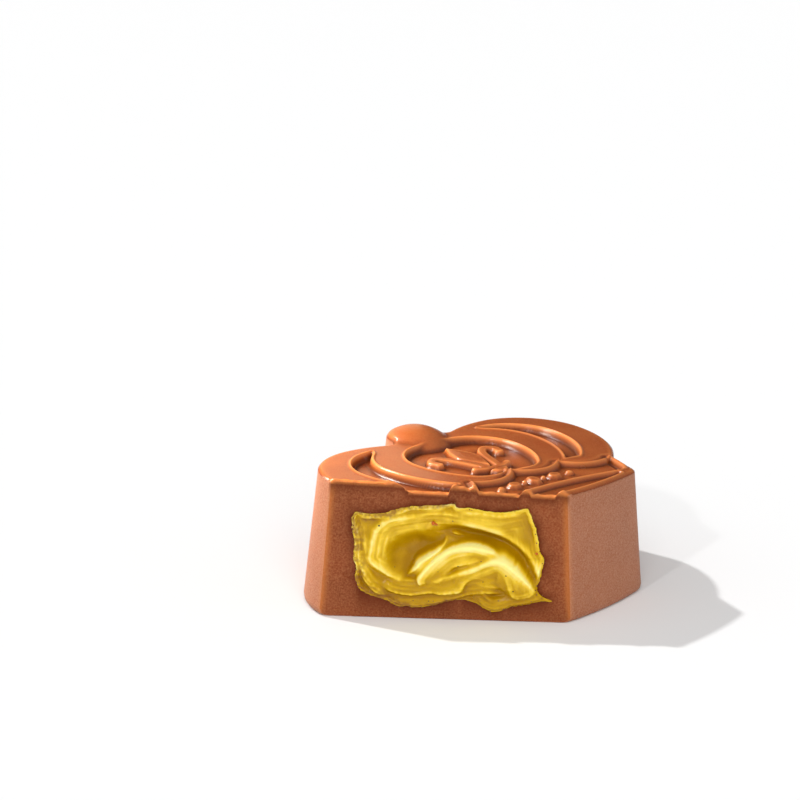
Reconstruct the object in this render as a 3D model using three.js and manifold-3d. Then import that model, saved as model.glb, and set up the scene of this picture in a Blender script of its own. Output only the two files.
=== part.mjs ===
/**
 * A moulded chocolate truffle in the shape of a crown, cut open so that its cream filling shows.
 *
 * Units are millimetres and +Z is up. The truffle lies on its scraped base, crown upwards. The
 * crown is drawn in plan with x across it and y from its hem (negative) to its orb (positive);
 * the finished piece is turned about +Z so that the cut face looks along -Y. The origin is the
 * middle of the crown's plan, on the base.
 */
import * as THREE from 'three';
import { mergeVertices } from 'three/addons/utils/BufferGeometryUtils.js';
import Module from 'manifold-3d';

const wasm = await Module();
wasm.setup();

// ---------------------------------------------------------------- driving dimensions

const HEIGHT = 14.1; // base to the flat frame of the crown, in the middle
const TOP_SLOPE = new THREE.Vector2(0.036, -0.011); // how fast the crown falls to +x and +y, scraped askew
const BASE_GROWTH = 1.41; // draft of the mould: the base is wider than the top by this much all round
const BASE_SHIFT = new THREE.Vector2(0, 0.5); // the base sits a little off the middle of the top
const BASE_EDGE = 0.5; // rounding where the side meets the base
const RIM_EDGE = 0.4; // rounding of the crown's outer rim

// Circles of the crown's plan: centre and radius on the +x side, mirrored for the other side.
const ORB = { x: 0, y: 10.45, r: 3.2 };
const LOBE = { x: 9.8, y: 3.15, r: 7.8 };
const CREST = { x: 9.8, y: -3.05, r: 14.0 };
const FLANK = { x: 4.6, y: 3.15, r: 13.0 };
const HEM = { x: 0, y: 24.95, r: 38.6 };
const BAND_SIDE = { x: 11.85, y: -9.5, angle: THREE.MathUtils.degToRad(74) };
const HEM_CORNER = 1.3;
const WAIST_FILLET = 1.6;
const VALLEY_FILLET = 1.0;

// Relief, measured from the level of the frame.
const WINDOW_DEPTH = 0.75;
const BAND_DEPTH = 0.42;
const LENS_DEPTH = 0.4;
const SWAG_RISE = 0.2;
const SWAG_PEAKS = [-12.1, -6.2, 0, 6.2, 12.1].map((x) => new THREE.Vector2(x, -4.45 - 0.0182 * x * x));
const SWAG_SAG = 1.4;
const HEM_RISE = 0.12;
const HEM_RIDGE = { y: -10.4, bow: 0.0095 }; // its place in the middle, and how far its ends bend away
const RIDGE_WIDTH = 0.9;
const ORNAMENT_RISE = 0.6;
const CURL_WIDTH = 1.2;
const JEWEL_RISE = 0.5;
const JEWEL_ROW = { y: -7.95, bow: 0.012 };
const ORB_RISE = 1.2;
const SOFT_EDGE = 0.2; // rounding of recess floors and of raised strokes

// The cut and the filling.
const CUT_TURN = THREE.MathUtils.degToRad(46.33); // turns the crown so that the cut looks along -Y
const CUT_DISTANCE = 10.01; // from the middle of the crown to the cut, at the crown's level
const CUT_LEAN = 0.72; // how much further out the cut lies at the base, because the knife leaned
const WALL = 2.8; // thickness of the chocolate at the sides
const CAVITY_FLOOR = 1.6;
const CAVITY_ROOF = 11.8;
const CAVITY_CORNER = 4.3; // how far in the cavity's corner arcs are centred
const CAVITY_EDGE = 1.2; // rounding between the cavity's sides and its floor and roof
const CAVITY_DIP = 3.0; // radius of the cavity's dip between the two lobes
const CLEARANCE = 0.3; // gap between the filling and the chocolate round it

// ---------------------------------------------------------------- solids and booleans

/** A closed geometry as a solid that can be joined and cut. */
function solid(geometry) {
  geometry.deleteAttribute('normal');
  geometry.deleteAttribute('uv');
  const merged = mergeVertices(geometry, 1e-4);
  return new wasm.Manifold(
    new wasm.Mesh({
      numProp: 3,
      vertProperties: new Float32Array(merged.attributes.position.array),
      triVerts: new Uint32Array(merged.index.array),
    }),
  );
}

/** The vertices and triangles of a solid as a geometry. */
function geometryOf(body) {
  const mesh = body.getMesh();
  const geometry = new THREE.BufferGeometry();
  geometry.setAttribute('position', new THREE.BufferAttribute(new Float32Array(mesh.vertProperties), 3));
  geometry.setIndex(new THREE.BufferAttribute(new Uint32Array(mesh.triVerts), 1));
  return geometry;
}

/**
 * A solid through stacked outlines of equal point count, closed by a flat cap at each end.
 * @param {{points: THREE.Vector2[], z: number}[]} sections from the bottom up
 */
function loft(sections) {
  const count = sections[0].points.length;
  const positions = sections.flatMap(({ points, z }) => points.flatMap((p) => [p.x, p.y, z]));
  const faces = [];
  for (let ring = 0; ring < sections.length - 1; ring += 1) {
    for (let i = 0; i < count; i += 1) {
      const a = ring * count + i;
      const b = ring * count + ((i + 1) % count);
      faces.push(a, b, b + count, a, b + count, a + count);
    }
  }
  const top = (sections.length - 1) * count;
  for (const [a, b, c] of THREE.ShapeUtils.triangulateShape(sections[0].points, [])) faces.push(a, c, b);
  for (const [a, b, c] of THREE.ShapeUtils.triangulateShape(sections.at(-1).points, [])) {
    faces.push(top + a, top + b, top + c);
  }
  const geometry = new THREE.BufferGeometry();
  geometry.setAttribute('position', new THREE.Float32BufferAttribute(positions, 3));
  geometry.setIndex(faces);
  return solid(geometry);
}

/** A plan outline raised from z0 to z1, its two edges rounded by `edge` within the outline. */
function raised(points, z0, z1, edge = SOFT_EDGE) {
  const geometry = new THREE.ExtrudeGeometry(new THREE.Shape(points), {
    depth: z1 - z0 - 2 * edge,
    bevelEnabled: true,
    bevelThickness: edge,
    bevelSize: edge,
    bevelOffset: -edge,
    bevelSegments: 2,
    curveSegments: 12,
  });
  return solid(geometry.translate(0, 0, z0 + edge));
}

// ---------------------------------------------------------------- plan curves

/** Points of an arc; a full `from` to `to` turn in radians, counter-clockwise where to > from. */
function arc(circle, radius, from, to, steps) {
  const curve = new THREE.EllipseCurve(circle.x, circle.y, radius, radius, from, to, to < from);
  return curve.getPoints(steps);
}

/** Direction from a circle's centre to a point. */
function bearing(circle, point) {
  return Math.atan2(point.y - circle.y, point.x - circle.x);
}

/** The crossing of two circles that lies to the right of the way from the first to the second. */
function crossing(a, ra, b, rb) {
  const dx = b.x - a.x;
  const dy = b.y - a.y;
  const distance = Math.hypot(dx, dy);
  const along = (ra * ra - rb * rb + distance * distance) / (2 * distance);
  const aside = Math.sqrt(ra * ra - along * along);
  return {
    x: a.x + (along * dx + aside * dy) / distance,
    y: a.y + (along * dy - aside * dx) / distance,
  };
}

/** Where the band's side line, moved out by `grow`, leaves (sign 1) or enters (-1) a circle. */
function sideCrossing(grow, circle, radius, sign) {
  const ux = Math.cos(BAND_SIDE.angle);
  const uy = Math.sin(BAND_SIDE.angle);
  const px = BAND_SIDE.x + uy * grow - circle.x;
  const py = BAND_SIDE.y - ux * grow - circle.y;
  const b = px * ux + py * uy;
  const t = -b + sign * Math.sqrt(b * b - (px * px + py * py - radius * radius));
  return { x: circle.x + px + t * ux, y: circle.y + py + t * uy };
}

/** The turn from `from` to `to` taken clockwise. */
function clockwise(from, to) {
  return to > from ? to - 2 * Math.PI : to;
}

/**
 * The +x half of the crown, from the middle of the hem round to the middle of the top.
 * @param {number} grow how far the outline is moved out, negative for in
 * @param {number} corner how far in from the edges the hem corner's arc is centred
 * @param {boolean} withOrb ends on the orb, or else in a dip between the lobes
 */
function crownHalf(grow, corner, withOrb) {
  const cornerArc = sideCrossing(-corner, HEM, HEM.r - corner, -1);
  const waist = sideCrossing(grow + WAIST_FILLET, FLANK, FLANK.r + grow + WAIST_FILLET, -1);
  const outward = BAND_SIDE.angle - Math.PI / 2;
  const halfTurn = Math.PI / 2;
  const points = [
    ...arc(HEM, HEM.r + grow, -halfTurn, bearing(HEM, cornerArc), 7),
    ...arc(cornerArc, corner + grow, bearing(HEM, cornerArc), outward, 3).slice(1),
    ...arc(waist, WAIST_FILLET, outward + Math.PI, clockwise(outward + Math.PI, bearing(waist, FLANK)), 3),
    ...arc(FLANK, FLANK.r + grow, bearing(FLANK, waist), 0, 8).slice(1),
    ...arc(LOBE, LOBE.r + grow, 0, halfTurn, 11).slice(1),
  ];
  if (withOrb) {
    const valley = crossing(CREST, CREST.r + grow + VALLEY_FILLET, ORB, ORB.r + grow + VALLEY_FILLET);
    const turnIn = bearing(valley, CREST);
    points.push(
      ...arc(CREST, CREST.r + grow, halfTurn, bearing(CREST, valley), 4).slice(1),
      ...arc(valley, VALLEY_FILLET, turnIn, clockwise(turnIn, bearing(valley, ORB)), 4).slice(1),
      ...arc(ORB, ORB.r + grow, bearing(ORB, valley), halfTurn, 8).slice(1),
    );
  } else {
    const reach = CREST.r + grow + CAVITY_DIP;
    const dip = { x: 0, y: CREST.y + Math.sqrt(reach * reach - CREST.x * CREST.x) };
    points.push(
      ...arc(CREST, CREST.r + grow, halfTurn, bearing(CREST, dip), 6).slice(1),
      ...arc(dip, CAVITY_DIP, bearing(dip, CREST), -halfTurn, 4).slice(1),
    );
  }
  return points;
}

/** A half outline and its mirror image as one closed outline, moved by `shift`. */
function bothSides(half, shift = new THREE.Vector2()) {
  const mirrored = half.slice(1, -1).reverse().map((p) => new THREE.Vector2(-p.x, p.y));
  return [...half, ...mirrored].map((p) => new THREE.Vector2(p.x + shift.x, p.y + shift.y));
}

/** The crown's outline at a height, with the draft of the mould. */
function crownSection(z, inset) {
  const low = 1 - z / HEIGHT;
  return {
    z,
    points: bothSides(
      crownHalf(BASE_GROWTH * low - inset, HEM_CORNER, true),
      BASE_SHIFT.clone().multiplyScalar(low),
    ),
  };
}

/** The cavity's outline at a height, parallel to the crown's side. */
function cavitySection(z, inset) {
  const low = 1 - z / HEIGHT;
  return {
    z,
    points: bothSides(
      crownHalf(BASE_GROWTH * low - WALL - inset, CAVITY_CORNER, false),
      BASE_SHIFT.clone().multiplyScalar(low),
    ),
  };
}

/** Points of a garland that sags below the straight line from p to q. */
function garland(p, q, sag, steps) {
  const half = p.distanceTo(q) / 2;
  const radius = (half * half + sag * sag) / (2 * sag);
  const across = q.clone().sub(p).normalize();
  const centre = p.clone().add(q).multiplyScalar(0.5);
  centre.x -= across.y * (radius - sag);
  centre.y += across.x * (radius - sag);
  return arc(centre, radius, bearing(centre, p), bearing(centre, q), steps);
}

/** The line of the garlands from one side of the crown to the other. */
function swagLine() {
  const spans = SWAG_PEAKS.slice(1).map((peak, i) => garland(SWAG_PEAKS[i], peak, SWAG_SAG, 8));
  return spans.flatMap((span, i) => (i === 0 ? span : span.slice(1)));
}

/** The line of the ridge along the hem, which turns up at both ends to meet the garlands. */
function hemLine() {
  const turnUp = [[10.5, -11.15], [11.1, -10.3], [11.5, -9.15], [12.1, -7.15]];
  const bow = [];
  for (let x = -9.6; x < 9.61; x += 1.6) {
    bow.push(new THREE.Vector2(x, HEM_RIDGE.y - HEM_RIDGE.bow * x * x));
  }
  const right = turnUp.map(([x, y]) => new THREE.Vector2(x, y));
  const left = turnUp.map(([x, y]) => new THREE.Vector2(-x, y)).reverse();
  return [...left, ...bow, ...right];
}

/** A band of even width along a line, as one closed outline. */
function strip(line, width) {
  const sides = [[], []];
  line.forEach((p, i) => {
    const before = line[Math.max(i - 1, 0)];
    const after = line[Math.min(i + 1, line.length - 1)];
    const normal = new THREE.Vector2(before.y - after.y, after.x - before.x).normalize();
    sides[0].push(p.clone().addScaledVector(normal, -width / 2));
    sides[1].push(p.clone().addScaledVector(normal, width / 2));
  });
  return [...sides[0], ...sides[1].reverse()];
}

// ---------------------------------------------------------------- relief of the crown

/** The crescent let into one lobe; side is 1 or -1. */
function crescent(side) {
  const outer = [
    ...arc({ x: 8.0, y: 3.25 }, 5.6, 1.62, 0, 8),
    ...arc({ x: 3.0, y: 3.25 }, 10.6, 0, -Math.asin(8.3 / 10.6), 6).slice(1),
  ];
  const inner = [
    ...arc({ x: -1.1, y: 3.05 }, 11.9, -Math.asin(7.9 / 11.9), 0, 6),
    ...arc({ x: 4.4, y: 3.05 }, 6.4, 0, 0.95, 6).slice(1),
  ];
  return [...outer, ...inner].map((p) => new THREE.Vector2(side * p.x, p.y));
}

/** The window between the arches, above the garlands. */
function windowOutline() {
  const foot = new THREE.Vector2(4.4, -3.95);
  const middle = new THREE.Vector2(0, -3.45);
  const right = [
    ...garland(middle, foot, 0.95, 5),
    ...arc({ x: -2.35, y: 2.45 }, 9.3, -Math.asin(6.4 / 9.3), 0, 6).slice(1),
    ...arc({ x: 1.92, y: 2.45 }, 5.03, 0, Math.PI / 2, 8).slice(1),
  ];
  return [...right, ...right.slice(1).reverse().map((p) => new THREE.Vector2(-p.x, p.y))];
}

/** The low strip between the hem ridge and the rim. */
function lensOutline() {
  const rim = arc(HEM, HEM.r - 0.7, -Math.PI / 2 - 0.24, -Math.PI / 2 + 0.24, 12);
  const ridge = hemLine().filter((p) => Math.abs(p.x) < 9);
  return [...rim, ...ridge.reverse()];
}

/** A closed outline of bezier pieces that starts and ends at one point. */
function petal(start, pieces) {
  const shape = new THREE.Shape();
  shape.moveTo(start[0], start[1]);
  pieces.forEach((piece) => shape.bezierCurveTo(...piece));
  return shape.getPoints(5).slice(0, -1);
}

/** A lily of three petals and a band, which fills the window. */
function lilyOutlines() {
  const middle = petal([0, -1.7], [
    [0.5, -0.6, 1.5, 0.8, 1.5, 2.3],
    [1.5, 3.9, 0.6, 4.9, 0, 6.1],
    [-0.6, 4.9, -1.5, 3.9, -1.5, 2.3],
    [-1.5, 0.8, -0.5, -0.6, 0, -1.7],
  ]);
  const curl = [[0.9, -1.5], [1.7, 0.6], [2.6, 2.6], [3.7, 3.6], [4.6, 3.0], [4.5, 1.9]];
  const curls = [1, -1].map((side) => {
    const line = new THREE.SplineCurve(curl.map(([x, y]) => new THREE.Vector2(side * x, y)));
    return strip(line.getPoints(12), CURL_WIDTH);
  });
  const band = petal([-2.1, -1.9], [
    [-1.0, -2.3, 1.0, -2.3, 2.1, -1.9],
    [2.5, -1.7, 2.5, -1.3, 2.1, -1.1],
    [1.0, -1.4, -1.0, -1.4, -2.1, -1.1],
    [-2.5, -1.3, -2.5, -1.7, -2.1, -1.9],
  ]);
  const foot = petal([0, -4.1], [
    [0.9, -3.5, 1.4, -3.0, 1.5, -2.3],
    [0.6, -2.0, -0.6, -2.0, -1.5, -2.3],
    [-1.4, -3.0, -0.9, -3.5, 0, -4.1],
  ]);
  return [middle, ...curls, band, foot];
}

/** The row of jewels on the band: pearls between cut stones. */
function jewels(floor) {
  const rows = [[0, 0.85, 1.15], ...[1, -1].flatMap((side) => [
    [side * 1.35, 0.36, 0.36],
    [side * 2.9, 0.95, 0.85],
    [side * 4.9, 0.5, 0.5],
  ])];
  const stones = rows.map(([x, across, along]) => {
    const stone = new THREE.SphereGeometry(1, 8, 6).rotateX(Math.PI / 2);
    const y = JEWEL_ROW.y - JEWEL_ROW.bow * x * x;
    return solid(stone.scale(across, along, JEWEL_RISE).translate(x, y, floor));
  });
  return wasm.Manifold.union(stones);
}

/** The dome of the orb, with a short round neck that reaches into the crown. */
function orbDome() {
  const radius = ORB.r - 0.05;
  const sphere = (radius * radius + ORB_RISE * ORB_RISE) / (2 * ORB_RISE);
  const reach = Math.asin(radius / sphere);
  const profile = [new THREE.Vector2(0, -2), new THREE.Vector2(radius, -2)];
  for (let i = 6; i > 0; i -= 1) {
    const angle = (reach * i) / 6;
    profile.push(new THREE.Vector2(sphere * Math.sin(angle), sphere * Math.cos(angle) + ORB_RISE - sphere));
  }
  profile.push(new THREE.Vector2(0, ORB_RISE));
  const dome = new THREE.LatheGeometry(profile, 28).rotateX(Math.PI / 2);
  return solid(dome.translate(ORB.x, ORB.y, HEIGHT));
}

/** The whole crown with its relief, before it is cut. */
function crownBody() {
  const body = loft([
    crownSection(0, BASE_EDGE),
    crownSection(BASE_EDGE * 0.3, BASE_EDGE * 0.3),
    crownSection(BASE_EDGE, 0),
    crownSection(HEIGHT - RIM_EDGE, 0),
    crownSection(HEIGHT - RIM_EDGE * 0.3, RIM_EDGE * 0.3),
    crownSection(HEIGHT, RIM_EDGE),
  ]);
  const above = HEIGHT + 2;
  const windowFloor = HEIGHT - WINDOW_DEPTH;
  const bandFloor = HEIGHT - BAND_DEPTH;
  const swags = swagLine();
  const hem = hemLine();
  const recesses = [
    raised(crescent(1), windowFloor, above),
    raised(crescent(-1).reverse(), windowFloor, above),
    raised(windowOutline(), windowFloor, above),
    raised([...hem, ...swags.slice(1, -1).reverse()], bandFloor, above, 0.05),
    raised(lensOutline(), HEIGHT - LENS_DEPTH, above, 0.1),
  ];
  const root = bandFloor - 0.6;
  const rim = crownSection(HEIGHT, RIM_EDGE).points;
  const ridges = raised(strip(swags, RIDGE_WIDTH), root, HEIGHT + SWAG_RISE)
    .add(raised(strip(hem, RIDGE_WIDTH), root, HEIGHT + HEM_RISE))
    .intersect(loft([{ points: rim, z: root }, { points: rim, z: above }]));
  const raisedParts = [
    ridges,
    jewels(bandFloor),
    orbDome(),
    ...lilyOutlines().map((outline) => raised(outline, windowFloor - 0.5, windowFloor + ORNAMENT_RISE)),
  ];
  return body.subtract(wasm.Manifold.union(recesses)).add(wasm.Manifold.union(raisedParts));
}

// ---------------------------------------------------------------- the cut and the filling

/** Everything in front of the cut, in the crown's own plan. */
function cutAwayBlock() {
  const size = 60;
  const block = new THREE.BoxGeometry(size, size, size).translate(0, -size / 2, 0);
  block.rotateX(-Math.atan2(CUT_LEAN, HEIGHT)).translate(0, -CUT_DISTANCE, HEIGHT);
  return solid(block.rotateZ(-CUT_TURN));
}

/** The space inside the chocolate, or what fills it, smaller all round by `gap`. */
function cavityBody(gap) {
  const floor = CAVITY_FLOOR + gap;
  const roof = CAVITY_ROOF - gap;
  const slope = CAVITY_EDGE * 0.3;
  return loft([
    cavitySection(floor, gap + CAVITY_EDGE),
    cavitySection(floor + slope, gap + slope),
    cavitySection(floor + CAVITY_EDGE, gap),
    cavitySection(roof - CAVITY_EDGE, gap),
    cavitySection(roof - slope, gap + slope),
    cavitySection(roof, gap + CAVITY_EDGE),
  ]);
}

// Folds that the knife left in the cream, on the cut face: x to the right, z up. Each runs through
// its points, is about twice its width across, and stands out of the face, or lies in, by its rise.
const FOLDS = {
  hollow: { rise: -3.2, width: 1.6, through: [[-8.0, 6.5], [-6.6, 7.2], [-5.0, 8.3]] },
  furrow: { rise: -1.4, width: 0.8, through: [[-4.3, 8.7], [-1.3, 9.3], [3.2, 8.1], [6.2, 4.7]] },
  ring: {
    rise: 1.1,
    width: 1.0,
    through: [[-7.8, 4.1], [-9.5, 5.3], [-10.5, 6.9], [-8.6, 10.0], [-5.6, 10.6], [-1.8, 10.6], [3.2, 9.1]],
  },
  peel: {
    rise: 1.8,
    width: 1.1,
    through: [[-5.7, 3.7], [-3.3, 6.8], [-1.3, 7.6], [1.2, 7.4], [3.7, 6.2], [6.3, 3.3]],
  },
  underPeel: { rise: 1.0, width: 0.8, through: [[-4.8, 3.9], [-2.8, 4.9], [-0.6, 5.8], [2.2, 5.9], [5.7, 3.5]] },
  crease: { rise: 0.7, width: 0.6, through: [[-5.8, 3.0], [-3.3, 3.6], [-1.0, 4.4], [0.7, 5.5]] },
  leftSheet: { rise: 0.8, width: 0.7, through: [[-12.2, 10.2], [-12.1, 7.2], [-11.0, 5.4], [-8.0, 4.1]] },
  lowerLeft: { rise: 1.0, width: 0.9, through: [[-10.6, 3.6], [-8.6, 2.6], [-6.1, 2.4], [-3.3, 2.9], [-1.8, 3.1]] },
  lowerRight: { rise: 0.8, width: 0.8, through: [[-1.3, 2.4], [1.2, 2.2], [3.2, 2.1], [5.2, 2.3]] },
};
const FACE_SINK = 0.7; // the smooth cream between the folds lies this far behind the cut
const FACE_STEPS = { across: 52, up: 28 };

/** How far the cream stands out of the cut at a point of the cut face. */
function creamRelief(x, z, curves) {
  return curves.reduce((height, { points, width, rise }) => {
    const nearest = Math.min(...points.map((p) => Math.hypot(p.x - x, p.y - z)));
    return height + rise * Math.exp(-((nearest / width) ** 2));
  }, -FACE_SINK);
}

/** Everything behind the folded face of the cream. */
function behindFoldedFace() {
  const span = { x0: -14, x1: 9, z0: 1, z1: 12.5 };
  const back = 30;
  const curves = Object.values(FOLDS).map(({ through, width, rise }) => ({
    points: new THREE.SplineCurve(through.map(([x, z]) => new THREE.Vector2(x, z))).getPoints(48),
    width,
    rise,
  }));
  const geometry = new THREE.BoxGeometry(
    span.x1 - span.x0, back, span.z1 - span.z0, FACE_STEPS.across, 1, FACE_STEPS.up,
  );
  geometry.translate((span.x0 + span.x1) / 2, back / 2 - CUT_DISTANCE, (span.z0 + span.z1) / 2);
  const position = geometry.attributes.position;
  for (let i = 0; i < position.count; i += 1) {
    if (position.getY(i) < 0) {
      const cut = CUT_DISTANCE + CUT_LEAN * (1 - position.getZ(i) / HEIGHT);
      position.setY(i, -cut - creamRelief(position.getX(i), position.getZ(i), curves));
    }
  }
  return solid(geometry.rotateZ(-CUT_TURN));
}

/** Tilts the crown's level, in proportion to the height, so that the base stays flat. */
function slopeTop(geometry) {
  const position = geometry.attributes.position;
  for (let i = 0; i < position.count; i += 1) {
    const fall = TOP_SLOPE.x * position.getX(i) + TOP_SLOPE.y * position.getY(i);
    position.setZ(i, position.getZ(i) * (1 - fall / HEIGHT));
  }
  geometry.computeVertexNormals();
  return geometry;
}

/** A named piece of the truffle. */
function piece(name, body, material) {
  const mesh = new THREE.Mesh(slopeTop(geometryOf(body)), material);
  mesh.name = name;
  return mesh;
}

const milkChocolate = new THREE.MeshStandardMaterial({ color: 0xa8663f, roughness: 0.38, metalness: 0 });
const paleCream = new THREE.MeshStandardMaterial({ color: 0xd9c45a, roughness: 0.45, metalness: 0 });

const shellBody = crownBody().subtract(cavityBody(0)).subtract(cutAwayBlock());
const creamBody = cavityBody(CLEARANCE).intersect(behindFoldedFace());

const truffle = new THREE.Group();
truffle.add(piece('chocolate_shell', shellBody, milkChocolate));
truffle.add(piece('cream_filling', creamBody, paleCream));
truffle.rotation.z = CUT_TURN;

export default truffle;
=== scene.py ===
"""A moulded milk chocolate truffle in the shape of a crown, cut open so that its cream shows.

Sizes are in millimetres. The crown is drawn in its own plan, with x across it and y from its hem
(negative) to its orb (positive), as it lies on its scraped base. The finished pieces are turned
about Z so that the cut face looks along -Y, and are brought to metres last.
"""

import logging
import math
import random
from dataclasses import dataclass
from enum import Enum
from typing import Callable, Mapping, Sequence

import bmesh
import bpy
import numpy as np
from mathutils import Matrix, Vector


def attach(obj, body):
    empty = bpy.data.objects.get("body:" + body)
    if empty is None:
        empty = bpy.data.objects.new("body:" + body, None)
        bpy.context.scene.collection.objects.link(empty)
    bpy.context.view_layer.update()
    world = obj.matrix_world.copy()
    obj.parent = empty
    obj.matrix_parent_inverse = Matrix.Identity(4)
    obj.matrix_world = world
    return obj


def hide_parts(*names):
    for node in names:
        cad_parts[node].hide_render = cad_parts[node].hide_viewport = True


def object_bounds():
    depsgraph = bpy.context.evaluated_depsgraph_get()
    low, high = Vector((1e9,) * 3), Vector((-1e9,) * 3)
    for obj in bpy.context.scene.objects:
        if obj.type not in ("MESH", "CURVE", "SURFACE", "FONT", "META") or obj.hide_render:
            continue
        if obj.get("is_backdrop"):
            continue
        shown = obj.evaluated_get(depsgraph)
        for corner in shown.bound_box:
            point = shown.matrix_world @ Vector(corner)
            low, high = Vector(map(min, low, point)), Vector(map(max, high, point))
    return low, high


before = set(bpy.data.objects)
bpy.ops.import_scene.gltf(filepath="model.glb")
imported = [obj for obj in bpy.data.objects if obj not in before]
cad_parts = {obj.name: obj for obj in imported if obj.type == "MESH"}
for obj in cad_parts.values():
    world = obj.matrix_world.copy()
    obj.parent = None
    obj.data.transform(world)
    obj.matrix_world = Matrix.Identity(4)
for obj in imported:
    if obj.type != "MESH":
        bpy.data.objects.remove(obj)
CAD_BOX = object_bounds()

logging.basicConfig(level=logging.INFO, format="%(message)s")
log = logging.getLogger("truffle")

MM = 0.001
QUARTER_TURN = math.pi / 2
FAR = 1e3  # mm, for points that are too far off to be measured
BODY = "root"

Points = np.ndarray  # one row for each point
Values = np.ndarray
Line = tuple[tuple[float, float], ...]  # points of a plan or of the cut face in mm


# ---------------------------------------------------------------- plan curves


@dataclass(frozen=True)
class Circle:
    """A circle of the crown's plan."""

    x: float
    y: float
    r: float


def arc(centre: Circle, radius: float, start: float, end: float, steps: int) -> Points:
    """Points along an arc.

    Args:
        centre: the circle whose centre the arc shares.
        radius: the arc's radius in mm.
        start: the angle of its first point in radians.
        end: the angle of its last point.
        steps: the number of steps between them.

    Returns:
        The arc's points, both ends included.
    """
    angles = np.linspace(start, end, steps + 1)
    return np.column_stack([centre.x + radius * np.cos(angles), centre.y + radius * np.sin(angles)])


def bearing(centre: Circle, point: Circle) -> float:
    """The direction from one circle's centre to another's, in radians."""
    return math.atan2(point.y - centre.y, point.x - centre.x)


def clockwise(start: float, end: float) -> float:
    """The angle `end`, taken so that the way from `start` to it is clockwise."""
    return end - 2 * math.pi if end > start else end


def mirrored(half: Points) -> Points:
    """A half line that starts in the middle, closed by its mirror image in x."""
    ends_in_middle = abs(half[-1, 0]) < 1e-6
    back = half[-2:0:-1] if ends_in_middle else half[:0:-1]
    return np.vstack([half, back * [-1, 1]])


def smooth_step(value: Values, start: float, end: float) -> Values:
    """Rises softly from 0 at `start` to 1 at `end`."""
    share = np.clip((value - start) / (end - start), 0, 1)
    return share * share * (3 - 2 * share)


def bell(off: Values, width: float) -> Values:
    """A smooth bump, 1 where `off` is 0 and about a third where it equals `width`."""
    return np.exp(-((off / width) ** 2))


def soft_max(first: Values, second: Values, fillet: float) -> Values:
    """The higher of two surfaces, with a fillet where they meet."""
    overlap = np.maximum(fillet - np.abs(first - second), 0) / fillet
    return np.maximum(first, second) + overlap * overlap * fillet / 4


def unevenness(x: Values, y: Values, size: float, seed: int) -> Values:
    """Smooth seeded unevenness.

    Args:
        x: first coordinate of each point.
        y: second coordinate.
        size: the width of its bumps, in the unit of the coordinates.
        seed: makes each use different and every run alike.

    Returns:
        A value between -1 and 1 for each point.
    """
    cells = 64
    table = np.random.default_rng(seed).uniform(-1, 1, (cells, cells))
    u, v = np.asarray(x) / size, np.asarray(y) / size
    i, j = np.floor(u).astype(int), np.floor(v).astype(int)
    a, b = u - i, v - j
    a, b = a * a * (3 - 2 * a), b * b * (3 - 2 * b)
    i, j, right, over = i % cells, j % cells, (i + 1) % cells, (j + 1) % cells
    low = table[i, j] * (1 - a) + table[right, j] * a
    high = table[i, over] * (1 - a) + table[right, over] * a
    return low * (1 - b) + high * b


def smooth_line(through: Sequence[Sequence[float]], steps: int = 8) -> Points:
    """A smooth line through points of any number of coordinates.

    Args:
        through: the points, in order.
        steps: how many points the line gets for each stretch between two of them.

    Returns:
        The line's points.
    """
    given = np.asarray(through, float)
    ends = np.vstack([2 * given[0] - given[1], given, 2 * given[-1] - given[-2]])
    t = np.linspace(0, 1, steps, endpoint=False)[:, None]
    stretches = []
    for p, q, r, s in zip(ends, ends[1:], ends[2:], ends[3:]):
        square, cube = 2 * p - 5 * q + 4 * r - s, 3 * q - p - 3 * r + s
        stretches.append(0.5 * (2 * q + (r - p) * t + square * t**2 + cube * t**3))
    return np.vstack([*stretches, given[-1:]])


def even_points(line: Points, count: int) -> Points:
    """The same line with `count` evenly spaced points, both ends included."""
    lengths = np.concatenate([[0], np.cumsum(np.hypot(*np.diff(line[:, :2], axis=0).T))])
    at = np.linspace(0, lengths[-1], count)
    return np.column_stack([np.interp(at, lengths, column) for column in line.T])


@dataclass
class Reach:
    """How points lie with respect to a line: distance, side, place along it and past its ends."""

    distance: Values
    side: Values
    along: Values
    past: Values


def reach(x: Values, y: Values, line: Points, limit: float = 1e9) -> Reach:
    """Measures points against a line.

    Args:
        x: first coordinate of the points.
        y: second coordinate.
        line: the line's points.
        limit: points that are further off than this may keep a distance of `FAR`.

    Returns:
        The distance, the side (1 left and -1 right of the line's run), the length along the line in
        mm, and how far the point lies past one of its ends in the line's own direction.
    """
    unmeasured = np.full(x.shape, FAR)
    result = Reach(unmeasured, np.full(x.shape, -1.0), np.zeros(x.shape), unmeasured.copy())
    low, high = line[:, :2].min(axis=0) - limit, line[:, :2].max(axis=0) + limit
    near = (x > low[0]) & (x < high[0]) & (y > low[1]) & (y < high[1])
    px, py = x[near], y[near]
    best = np.full(px.shape, FAR**2)
    side, along, past = (np.zeros(px.shape) for _ in range(3))
    run = 0.0
    last = len(line) - 2
    for index, (start, end) in enumerate(zip(line[:-1, :2], line[1:, :2])):
        dx, dy = end - start
        length = math.hypot(dx, dy)
        if length < 1e-9:
            continue
        ux, uy = px - start[0], py - start[1]
        raw = (ux * dx + uy * dy) / length**2
        t = np.clip(raw, 0, 1)
        squared = (ux - t * dx) ** 2 + (uy - t * dy) ** 2
        closer = squared < best
        best = np.where(closer, squared, best)
        side = np.where(closer, dx * uy - dy * ux, side)
        along = np.where(closer, run + t * length, along)
        over = np.maximum(-raw * (index == 0), (raw - 1) * (index == last)) * length
        past = np.where(closer, np.maximum(over, 0), past)
        run += length
    result.distance[near] = np.sqrt(best)
    result.side[near] = np.where(side >= 0, 1.0, -1.0)
    result.along[near] = along
    result.past[near] = past
    return result


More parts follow.
